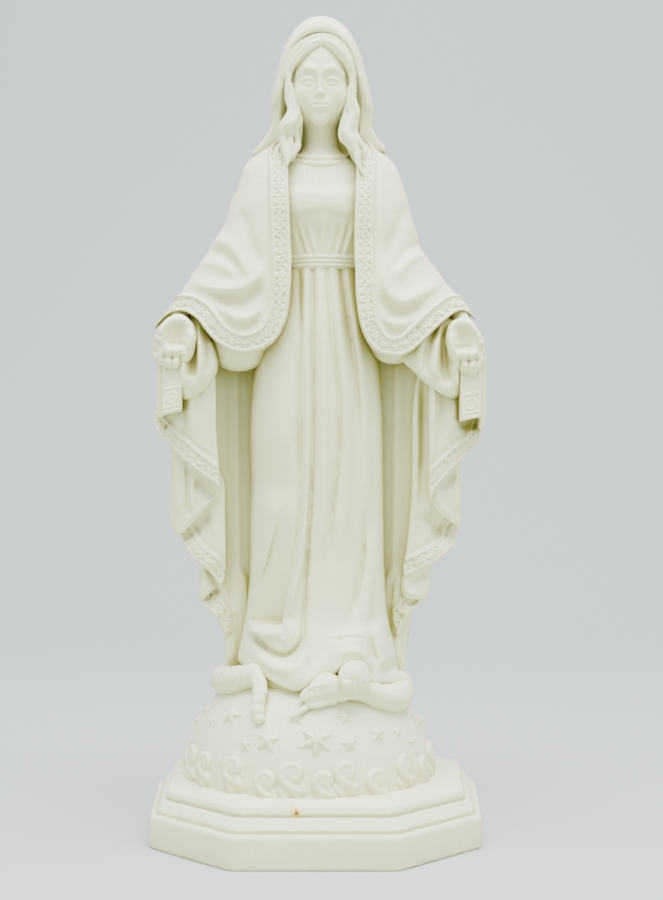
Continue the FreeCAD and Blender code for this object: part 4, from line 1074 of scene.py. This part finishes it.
def make_head():
    """A calm young woman's head. The eyes are about half-way up, with nearly equal thirds from hairline
    to brow, to nose, to chin. The chin's height and the face's width follow the photograph; the
    features between them don't."""
    cx, cz = FACE
    block = Block((cx - 10.5, -15.8, 202), (cx + 10.5, 11, 242), 0.2)

    def at(x, y, z):
        return (cx + x, y, cz + z)

    def ball(x, y, z, rx, ry, rz):
        return ellipsoid(block, at(x, y, z), (rx, ry, rz))

    def bar(a, b, r1, r2):
        return limb(block, at(*a), at(*b), r1, r2)

    field = smin(ball(0, -0.2, 4.4, 9.9, 10.9, 12.6), ball(0, -2.6, -0.4, 9.3, 9.3, 10.8), 2.5)
    field = smin(field, ball(0, -4.8, -8.0, 6.2, 6.6, 4.6), 2.6)
    field = smin(field, ball(0, -10.1, -11.6, 2.4, 2.2, 1.9), 2.4)
    neck = tube(block, [(cx, 2.2, 200), (cx, 1.2, 208), (cx, -0.4, 215), (cx, -0.6, 222)],
                [7.0, 5.6, 5.2, 5.6])
    field = smin(field, neck, 1.6)
    for side in (-1, 1):
        field = smin(field, ball(side * 4.9, -8.1, -4.2, 3.2, 3.1, 3.5), 3.2)
        # Brow, socket, eyeball and lids.
        brow = smin(bar((side * 1.5, -11.4, 3.2), (side * 3.8, -11.1, 3.8), 0.35, 0.35),
                    bar((side * 3.8, -11.1, 3.8), (side * 6.4, -9.1, 2.4), 0.35, 0.2), 1.2)
        field = smin(field, brow, 2.2)
        field = smax(field, -ball(side * 3.45, -13.5, 0.1, 2.6, 2.2, 1.7), 2.2)
        offset = block.x - cx - side * 3.45
        opening = (offset / 1.85) ** 2
        eye = ball(side * 3.45, -9.5, -0.1, 2.2, 2.1, 2.0)
        lids = ball(side * 3.45, -9.5, -0.1, 2.6, 2.42, 2.35)
        upper = np.maximum(lids, 0.42 - 0.6 * opening - (block.z - cz))
        lower = np.maximum(lids + 0.12, block.z - cz + 0.85 - 0.5 * opening)
        field = smin(smin(smin(field, eye, 0.2), upper, 0.25), lower, 0.4)
    # Nose: a straight slender bridge, a small rounded tip and wings.
    field = smin(field, bar((0, -11.3, 1.8), (0, -12.7, -3.2), 0.45, 0.6), 1.7)
    field = smin(field, ball(0, -12.9, -3.8, 0.8, 0.85, 0.75), 0.9)
    for side in (-1, 1):
        field = smin(field, ball(side * 0.9, -12.2, -4.1, 0.5, 0.8, 0.55), 0.8)
        field = smax(field, -ball(side * 0.5, -12.7, -4.75, 0.24, 0.4, 0.2), 0.3)
    # Mouth: closed, with soft full lips that turn up a little at the corners.
    field = smin(field, ball(0, -9.9, -7.5, 3.0, 2.6, 2.7), 2.6)
    for side in (-1, 1):
        field = smin(field, bar((side * 0.45, -12.55, -6.75), (side * 1.6, -12.0, -7.0), 0.55, 0.28), 0.5)
        field = smin(field, bar((0, -12.35, -8.2), (side * 1.2, -11.95, -7.9), 0.78, 0.42), 0.5)
        field = smax(field, -bar((0, -13.1, -7.42), (side * 1.9, -12.25, -7.15), 0.2, 0.14), 0.4)
    field = smax(field, -bar((0, -12.95, -5.5), (0, -13.0, -6.2), 0.22, 0.26), 0.7)
    field = smax(field, -ball(0, -13.1, -9.6, 1.5, 0.75, 0.35), 1.2)
    cast("head", block, field, skin_plaster, uneven=0.025)


def make_hair():
    """Parted hair swept round the face, and a wavy lock down each side on to the chest."""
    block = Block((-13, -16, 196), (18, 12, 247), 0.27)
    field = ellipsoid(block, (1.4, -0.2, 231.6), (10.5, 12.2, 13.5))
    # The two smooth waves of hair from the parting to the temples.
    rolls = (
        ([(1.8, -9.0, 240.2), (-1.4, -9.9, 239.0), (-4.6, -10.0, 236.3), (-7.0, -9.6, 233.0),
          (-8.2, -9.0, 229.4), (-8.5, -8.6, 225)], [1.2, 1.5, 1.5, 1.3, 1.1, 1.0]),
        ([(1.9, -9.0, 240.2), (4.8, -9.9, 239.2), (7.6, -10.0, 236.6), (9.7, -9.6, 233.4),
          (11.0, -9.0, 229.6), (11.3, -8.6, 225.2)], [1.2, 1.5, 1.55, 1.45, 1.2, 1.0]),
    )
    for points, radii in rolls:
        field = smin(field, tube(block, points, radii, 0.9), 0.9)
    relief = block.flat()
    sweep = lambda *a, **k: stroke(relief, block, *a, **k)
    sweep([(1.85, 241.4), (1.85, 238)], -0.45, 0.4, power=1.3, ends=(0.3, 0))
    for i, dark in enumerate((-0.5, -0.4, -0.5)):
        out = 0.95 * (i + 1)
        sweep([(1.4, 238.9 + out), (-2.0, 237.2 + out), (-5.0 - out * 0.4, 234.4 + out * 0.75),
               (-7.0 - out * 0.5, 231.2 + out * 0.35), (-7.5 - out * 0.5, 226)], dark, 0.36, power=1.4,
              ends=(0.1, 0.15))
        sweep([(2.3, 238.9 + out), (4.9, 237.4 + out), (7.3 + out * 0.5, 234.9 + out * 0.75),
               (9.3 + out * 0.7, 231.4 + out * 0.35), (10.1 + out * 0.6, 226)], dark, 0.36, power=1.4,
              ends=(0.1, 0.15))
    field = field - lift(relief)
    face = outline(block.plane_x, block.plane_z, HAIRLINE)
    field = smax(field, np.minimum(-lift(face), 2.0 - block.y), 0.8)
    field = smax(field, 213.0 - block.z, 1.0)
    strands = [
        ([(-8.2, -9.2, 230), (-8.5, -9.4, 226.6), (-8.4, -9.5, 222.8), (-7.3, -9.8, 219.2),
          (-8.3, -10.6, 216.4), (-10.0, -10.8, 213.6), (-10.2, -10.2, 211), (-9.7, -10.8, 208),
          (-9.0, -12.0, 205), (-8.6, -13.2, 201.6)],
         [0.7, 0.9, 1.0, 1.25, 1.45, 1.4, 1.25, 1.15, 0.9, 0.3]),
        ([(-7.4, -9.4, 227), (-6.9, -9.7, 222.6), (-5.9, -9.8, 218.8), (-6.5, -10.8, 216.0),
          (-7.9, -11.4, 214.2), (-7.9, -9.6, 211.4), (-7.6, -10.4, 208.6), (-8.2, -11.8, 205.4),
          (-8.5, -13.0, 202.2)],
         [0.5, 0.8, 1.15, 1.4, 1.35, 0.9, 1.15, 1.0, 0.3]),
        ([(-6.6, -8.8, 223), (-5.3, -8.6, 218.6), (-5.1, -9.0, 215.4), (-6.2, -10.0, 213.6),
          (-5.7, -8.6, 210.6), (-5.6, -9.4, 208.2), (-7.0, -11.2, 205.6), (-8.0, -12.6, 203.2)],
         [0.6, 1.1, 1.2, 0.9, 0.9, 1.1, 0.8, 0.3]),
        ([(10.9, -9.2, 230), (11.0, -9.4, 226.0), (11.3, -9.6, 222.0), (12.1, -9.8, 218.8),
          (11.6, -9.8, 215.4), (11.4, -9.8, 212.6), (12.5, -10.2, 210.2), (14.3, -10.4, 207.8),
          (15.0, -11.6, 205.2)],
         [0.7, 0.9, 1.0, 1.2, 1.3, 1.2, 1.25, 1.0, 0.3]),
        ([(10.0, -9.4, 226), (10.0, -9.6, 221.0), (10.8, -9.8, 217.8), (9.9, -10.6, 214.6),
          (9.3, -11.4, 211.8), (10.8, -11.8, 209.4), (12.2, -12.0, 206.2), (12.7, -13.0, 202.6),
          (14.3, -13.6, 198.6)],
         [0.5, 0.8, 1.1, 1.35, 1.6, 1.4, 1.15, 0.8, 0.3]),
        ([(9.4, -8.8, 222), (9.1, -8.8, 218.2), (8.2, -9.2, 214.4), (8.0, -10.2, 211.0), (9.6, -11.2, 208.8),
          (11.4, -11.8, 206.0)],
         [0.6, 1.1, 1.25, 1.3, 1.1, 0.4]),
    ]
    # Hair under the veil's rim, and the underside of each lock, close the gaps to the veil and neck.
    rim = tube(block, [(x, -8.2, z - 0.9) for x, z in ((-8.6, 231), (-7.4, 236.4), (-3.8, 240.6),
                                                       (1.8, 242.6), (6.2, 241.2), (9.6, 236.8),
                                                       (11.0, 231))], [1.2, 1.3, 1.3, 1.2])
    field = smin(field, rim, 0.6)
    for x, lean in ((-6.3, -1.2), (9.6, 2.6)):
        under = tube(block, [(x, -5.0, 222), (x, -5.4, 216), (x + 0.5 * lean, -5.8, 210),
                             (x + lean, -6.6, 205)], [1.6, 2.4, 2.3, 1.2])
        field = smin(field, under, 0.8)
    for points, radii in strands:
        field = smin(field, tube(block, points, radii, 0.9), 0.45)
    cast("hair", block, field, fine_plaster, uneven=0.04)


# Sections of the veil's outside: z, half width, half depth, x, y. The widths from 213.8 to 235.9
# follow the photograph's silhouette.
VEIL = [
    (200, 17.5, 11.5, 0.9, 4.2), (206, 17.2, 11.6, 0.9, 4.0), (210, 16.2, 12.0, 1.2, 3.6),
    (213.8, 15.5, 12.6, 1.5, 3.0), (217.5, 15.4, 13.0, 1.8, 2.4), (221.2, 16.1, 13.2, 1.8, 2.0),
    (224.8, 15.7, 13.3, 1.5, 1.6), (228.5, 14.7, 13.3, 1.6, 1.3), (232, 13.8, 13.2, 1.6, 1.1),
    (235.9, 12.9, 12.9, 1.5, 1.0), (238.5, 12.1, 12.6, 1.5, 1.0), (241.1, 11.0, 12.3, 1.5, 0.9),
    (244.6, 9.1, 10.8, 1.5, 0.9), (247.0, 7.0, 8.8, 1.5, 0.9), (248.8, 4.6, 6.2, 1.5, 0.9),
    (249.8, 2.4, 3.6, 1.5, 0.9), (250.6, 0.8, 1.2, 1.5, 0.9),
]
VEIL_EDGE = [
    (1.8, 243.1), (-1.4, 242.6), (-4.3, 241.2), (-7.0, 238.2), (-8.4, 234.2), (-9.3, 230), (-10.6, 225),
    (-11.8, 220), (-12.3, 215), (-11.4, 210), (-11, 203), (13, 203), (13.8, 210), (14.9, 215), (14.9, 220),
    (14.0, 225), (12.8, 230), (11.7, 233.6), (10.6, 236.6), (8.9, 239.4), (5.9, 242.0),
]


def make_veil():
    """The veil: a soft hood with rolled edges that hangs behind the hair and spreads over the
    shoulders and the back."""
    block = Block((-24, -13, 198), (26, 18, 252), 0.4)
    base = oval(block, VEIL, 2.1)
    relief = block.flat()
    fold = lambda *a, **k: stroke(relief, block, *a, **k)
    for side in (-1, 1):
        x = lambda v: 1.5 + side * v
        fold([(x(6.0), 247), (x(10.6), 238), (x(13.4), 227), (x(14.6), 215)], [0.3, 0.5, 0.7, 0.5], 1.1)
        fold([(x(8.0), 243), (x(11.6), 233), (x(13.2), 222), (x(13.4), 212)], [-0.2, -0.5, -0.6, -0.4], 0.9)
    edge = outline(block.plane_x, block.plane_z, VEIL_EDGE)
    lip = 0.45 * np.exp(-((edge - 1.0) / 0.9) ** 2)
    hood = smax(base - lift(relief + lip), block.z - 250.0, 2.5)
    # Inside, the veil draws in towards the hair with depth.
    inside = lift(edge) + 0.42 * np.maximum(block.y + 7.5, 0)
    field = smax(hood, np.minimum(-inside, 7.0 - block.y), 1.1)
    field = smax(field, -9.6 - block.y, 1.0)
    rear = relief * 0
    for x in (-12, -7.6, -3.2, 1.3, 5.8, 10.2, 14.6):
        stroke(rear, block, [(1.3 + (x - 1.3) * 0.55, 240), (x, 224), (1.3 + (x - 1.3) * 1.12, 200)],
               [0.2, 0.9, 1.2], 1.5, ends=(0.3, 0))
        stroke(rear, block, [(1.3 + (x + 0.9) * 0.55, 238), (x + 2.2, 222), (2.6 + (x + 1.2) * 1.12, 200)],
               [-0.2, -0.7, -0.9], 1.0, power=1.6, ends=(0.3, 0))
    behind = soft_step((block.y - 2) / 5)
    field = field - behind * lift(rear)
    # The back's hem dips to the middle; the sides end on the shoulders.
    hem = 201.5 + 0.010 * (block.plane_x - 1) ** 2 + 0.5 * np.sin(block.plane_x * 0.9)
    field = smax(field, lift(hem + 0 * block.plane_z) - block.z, 1.2)
    front_hem = 207.5 + 0.42 * np.maximum(6 - block.y, 0)
    field = smax(field, np.minimum(front_hem - block.z, 8.0 - block.y), 1.4)
    for side, points in ((-1, [(-11.4, 220), (-13.2, 218), (-14.0, 215.4), (-15.6, 212.8), (-17.6, 210.2),
                               (-20.0, 207.4), (-17.0, 207.4), (-12.6, 211.0), (-10.6, 215)]),
                         (1, [(13.6, 220), (16.6, 218), (17.0, 215.6), (18.2, 213.2), (19.8, 211.0),
                              (21.8, 208.6), (17.4, 208.4), (14.0, 210.4), (12.4, 215)])):
        shape = outline(block.plane_x, block.plane_z, points)
        lap = smax(lift(shape), -3.6 - 0.16 * (block.z - 212) - block.y, 1.6)
        lap = smax(lap, block.y - 9.0, 1.6)
        field = smin(field, lap, 1.2)
    cast("veil", block, field, fine_plaster, uneven=0.05)


# ---------------------------------------------------------------- hands, foot and serpent


HAND_OUTLINES = {
    # Seen from the front: outwards from her side, and height over the palm's middle.
    -1: [(1.4, 7.4), (-1.5, 8.0), (-4.8, 5.8), (-6.5, 2.0), (-6.1, -1.6), (-4.9, -4.9), (-2.6, -7.3),
         (-0.3, -8.7), (3.5, -7.7), (6.3, -5.9), (6.9, -2.4), (6.3, 0.9), (4.6, 4.5)],
    1: [(1.1, 7.7), (-2.0, 7.9), (-4.9, 5.9), (-5.9, 2.8), (-5.7, -1.0), (-4.8, -4.6), (-2.4, -8.0),
        (0.6, -9.5), (3.4, -9.2), (5.4, -6.2), (6.0, -2.6), (5.2, 0.8), (3.8, 4.0)],
}


def make_hands():
    """Open hands held low, palms forward: a cupped palm, the ball of the thumb along its outer side
    and the fingers foreshortened towards the front."""
    for side, word, cx, cz in ((-1, "right", -41.9, 149.2), (1, "left", 44.8, 148.2)):
        block = Block((cx - 9.5, -24.5, cz - 12), (cx + 9.5, -2, cz + 16), 0.22)
        at = lambda points: [(cx + side * u, cz + v) for u, v in points]
        relief = block.flat()
        form = lambda points, *a, **k: stroke(relief, block, at(points), *a, **k)
        # The ball of the thumb curves round the palm's hollow, with the heel of the hand opposite.
        form([(-3.8, 5.6), (0.4, 6.0), (3.4, 4.0), (4.6, 0.4), (4.6, -2.6)], [0.8, 1.9, 2.4, 2.2, 1.2], 1.9,
             ends=(0.2, 0.2))
        form([(-4.9, 3.6), (-4.9, 0.0), (-4.0, -3.2)], 1.0, 1.3)
        form([(-1.2, 3.6), (-0.6, 0.8)], -2.4, 2.3, ends=(0, 0))
        form([(1.6, 3.8), (2.8, 0.6), (2.4, -1.0)], -0.9, 0.6)
        form([(-4.2, -1.4), (-0.8, -0.9), (2.4, -0.9)], -1.1, 0.6)
        # The pads under the fingers and the fingers' first joints.
        form([(-3.0, -3.2), (0.6, -3.4), (4.0, -3.0)], 2.0, 1.7)
        form([(-1.8, -6.4), (0.8, -7.0), (3.8, -6.0)], 1.6, 1.5)
        form([(-3.4, -4.8), (0.8, -5.2), (4.6, -4.6)], -0.8, 0.45)
        for u in (-1.7, 0.6, 2.9):
            form([(u * 0.9, -2.4), (u, -5.0), (u * 1.1, -8.6)], -1.1, 0.42, ends=(0.3, 0))
        for u, v in ((5.6, -0.4), (5.0, 1.8), (6.0, -3.0)):
            form([(u, v), (u - 0.6, v - 0.8)], -0.9, 0.5, ends=(0, 0))
        shape = outline(block.plane_x, block.plane_z, at(HAND_OUTLINES[side]))
        front = 17.2 + relief - 0.10 * (block.plane_z - cz)
        edge = lift(shape) + 0.16 * np.maximum(block.y + 13, 0)
        field = smax(-block.y - lift(front), edge, 3.2)
        field = smax(field, block.y + 8.5, 2.0)
        field = smin(field, limb(block, (cx, -9.4, cz + 4.0), (cx - side * 1.0, -5.8, cz + 8.6), 3.5, 2.6),
                     1.2)
        cast(f"hand_{word}", block, field, skin_plaster, uneven=0.2)


def make_foot():
    """The bare left foot: mostly under the hem, its rounded toe end on the serpent."""
    block = Block((3, -35, 43), (19, -14, 60), 0.25)
    shape = outline(block.plane_x, block.plane_z, [
        (6.6, 50.4), (7.4, 53.4), (9.4, 55.2), (12.4, 55.3), (14.8, 53.8), (15.9, 50.8), (15.6, 47.6),
        (13.4, 45.9), (10.2, 45.8), (7.6, 47.4)])
    relief = block.flat()
    stroke(relief, block, [(8.9, 50.6), (8.8, 47.0)], 1.1, 1.5, ends=(0.2, 0))
    stroke(relief, block, [(10.9, 54.4), (10.7, 50.6)], 0.5, 1.8)
    for x in (10.5, 12.3, 13.9):
        stroke(relief, block, [(x + 0.1, 51.0), (x, 46.0)], -0.75, 0.42, ends=(0.4, 0))
    front = 32.4 + relief - 0.30 * np.maximum(block.plane_x - 9.0,
                                              0) - 0.24 * np.maximum(block.plane_z - 49.5, 0)
    field = smax(-block.y - lift(front), lift(shape) - 0.05 * (block.y + 27), 2.8)
    field = smax(field, block.y + 17, 2.0)
    cast("foot_left", block, field, skin_plaster, uneven=0.05)


def scaled(block, field, pitch, depth):
    """Fine rows of scales over a serpent's body."""
    u = (block.x * 0.8 + block.z * 0.6) / pitch
    v = (block.y * 0.8 - block.x * 0.4 + block.z * 0.5) / pitch
    return field + depth * (0.5 - np.abs(np.sin(math.pi * u)) * np.abs(np.sin(math.pi * v)))


def make_serpent():
    """The serpent across the globe's crown: a coil each side, the head under the foot and the
    tail hanging down the globe."""
    block = Block((0, -34, 36), (33, 6, 55), 0.32)
    field = tube(block, [(23.4, 2.4, 46.2), (25.3, -3.0, 45.2), (25.4, -9.4, 43.8), (23.4, -15.6, 42.8),
                         (19.0, -20.2, 43.8), (14.2, -23.4, 46.0), (9.6, -25.6, 47.0), (4.4, -27.2, 47.4)],
                 [3.4, 4.0, 4.4, 4.4, 3.9, 3.3, 3.2, 3.3], 1.1)
    cast("serpent_coil_left", block, scaled(block, field, 1.7, 0.16), fine_plaster)

    block = Block((-35, -25, 38), (-12, 6, 56), 0.32)
    field = tube(block, [(-25.4, 4.0, 46.6), (-28.0, -1, 46.6), (-27.4, -7.6, 46.6), (-24.6, -12.8, 47.6),
                         (-20.8, -16.2, 49.0), (-17.6, -18.6, 49.8)], [3.8, 4.1, 4.3, 4.2, 3.9, 3.4], 1.1)
    cast("serpent_coil_right", block, scaled(block, field, 1.7, 0.16), fine_plaster)

    block = Block((-23, -33, 35), (-11, -15, 56), 0.2)
    path = [(-18.6, -17.8, 50.4), (-17.2, -20.6, 49.6), (-16.3, -23.2, 47.4), (-16.3, -25.4, 44.8),
            (-16.6, -26.9, 42.2), (-16.5, -28.0, 40.2), (-16.0, -28.6, 38.7)]
    field = tube(block, path, [3.0, 2.4, 1.8, 1.6, 1.4, 1.25, 0.9], 0.7)
    # Uneven knobs down the tail.
    for (x, y, z), r in zip(curve(path, 2.6)[2:], (1.9, 2.1, 1.8, 1.9, 1.55, 1.3)):
        field = smin(field, ellipsoid(block, (x + 0.3 * math.sin(z * 2.1), y - 0.3, z), (r, r, 1.05)), 1.7)
    cast("serpent_tail", block, field, fine_plaster, uneven=0.1)

    block = Block((-9, -35, 37), (12, -18, 56), 0.22)
    turn = axes_along((-0.93, -0.08, -0.36), (0, 0, 1))
    field = ellipsoid(block, (2.8, -27.0, 48.2), (3.2, 3.6, 4.2), turn)
    field = smin(field, ellipsoid(block, (-0.8, -28.8, 46.0), (2.5, 2.4, 4.0), turn), 1.4)
    field = smin(field, limb(block, (7.6, -26.6, 46.6), (3.4, -27.2, 47.2), 3.3, 3.2), 2.0)
    jaw = smin(ellipsoid(block, (-0.4, -29.0, 43.0), (2.9, 1.9, 0.95)),
               limb(block, (5.2, -28.0, 44.2), (-0.6, -29.2, 43.0), 1.5, 1.0), 1.2)
    slit = smin(limb(block, (4.4, -31.6, 45.0), (-6.0, -31.6, 43.5), 0.5, 0.8),
                limb(block, (4.4, -28.6, 45.0), (-6.0, -28.8, 43.5), 0.5, 0.8), 2.4)
    field = smax(smin(field, jaw, 0.5), -slit, 0.4)
    # Brow ridge, eye, nostril and the folds behind the jaw.
    field = smin(field, limb(block, (3.4, -30.0, 49.2), (-1.4, -30.6, 48.0), 0.9, 0.7), 0.7)
    field = smin(field, ellipsoid(block, (0.6, -30.7, 47.2), (0.9, 0.8, 0.7)), 0.3)
    field = smax(field, -limb(block, (1.9, -31.0, 47.6), (-0.8, -31.5, 46.4), 0.24, 0.2), 0.4)
    field = smax(field, -ellipsoid(block, (-3.4, -31.0, 46.0), (0.45, 0.6, 0.4)), 0.4)
    for x in (4.6, 6.2):
        field = smax(field, -limb(block, (x, -31.0, 50.0), (x - 0.6, -31.4, 44.4), 0.36, 0.3), 0.8)
    tongue = tube(block, [(-2.0, -29.2, 42.8), (-3.8, -30.4, 41.5), (-5.6, -31.2, 40.3), (-7.4, -31.4, 39.8)],
                  [1.0, 0.9, 0.7, 0.4], 0.8)
    field = smin(field, tongue, 0.3)
    cast("serpent_head", block, field, fine_plaster, uneven=0.04)


# ---------------------------------------------------------------- the stage


def make_stage():
    """A pale floor that sweeps up into a backdrop."""
    mesh = bpy.data.meshes.new("sweep")
    profile = [(-0.9, 0.0), (0.42, 0.0)]
    for i in range(1, 13):
        t = math.radians(90 * i / 12)
        profile.append((0.42 + 0.5 * math.sin(t), 0.5 - 0.5 * math.cos(t)))
    profile.append((0.92, 2.4))
    points = [(x, y, z) for y, z in profile for x in (-2.2, 2.2)]
    faces = [(2 * i, 2 * i + 1, 2 * i + 3, 2 * i + 2) for i in range(len(profile) - 1)]
    mesh.from_pydata(points, [], faces)
    mesh.polygons.foreach_set("use_smooth", [True] * len(mesh.polygons))
    sweep = bpy.data.objects.new("sweep", mesh)
    bpy.context.scene.collection.objects.link(sweep)
    mat = bpy.data.materials.new("backdrop_paper")
    mat.use_nodes = True
    shader = mat.node_tree.nodes["Principled BSDF"]
    shader.inputs["Base Color"].default_value = (0.512, 0.568, 0.557, 1)
    shader.inputs["Roughness"].default_value = 0.9
    shader.inputs["Specular IOR Level"].default_value = 0.1
    mesh.materials.append(mat)


def area_light(name, place, aim, size, power):
    light = bpy.data.lights.new(name, "AREA")
    light.shape, light.size, light.size_y = "RECTANGLE", size[0], size[1]
    light.energy = power
    obj = bpy.data.objects.new(name, light)
    obj.location = place
    obj.rotation_euler = (Vector(aim) - Vector(place)).to_track_quat("-Z", "Y").to_euler()
    bpy.context.scene.collection.objects.link(obj)


def make_lights():
    area_light("top_softbox", (0.05, -0.25, 0.95), (0, 0, 0.12), (0.9, 0.7), 24.3)
    area_light("front_left", (-0.75, -0.75, 0.5), (0, 0, 0.13), (0.6, 0.8), 5.4)
    area_light("front_right", (0.8, -0.65, 0.45), (0, 0, 0.13), (0.6, 0.8), 5.1)
    area_light("backdrop_wash", (0.0, 0.1, 1.3), (0, 0.9, 0.3), (1.2, 0.4), 7.4)
    world = bpy.data.worlds.new("room")
    world.use_nodes = True
    world.node_tree.nodes["Background"].inputs["Color"].default_value = (0.93, 0.97, 1.0, 1)
    world.node_tree.nodes["Background"].inputs["Strength"].default_value = 0.62
    bpy.context.scene.world = world


def make_camera():
    camera = bpy.data.cameras.new("camera")
    camera.sensor_fit, camera.sensor_height, camera.sensor_width = "VERTICAL", 36.0, 36.0
    camera.lens = 61.4
    camera.clip_start = 0.02
    obj = bpy.data.objects.new("camera", camera)
    obj.location = (0.0047, -0.473, 0.1166)
    obj.rotation_euler = (math.radians(90), 0, 0)
    bpy.context.scene.collection.objects.link(obj)
    bpy.context.scene.camera = obj


make_plinth()
make_globe()
make_stars()
make_scrolls()
make_skirt()
make_bodice()
make_sash()
make_neckline()
make_capes()
make_back()
make_falls()
make_sleeves()
make_bands()
make_head()
make_hair()
make_veil()
make_hands()
make_foot()
make_serpent()
make_stage()
make_lights()
make_camera()
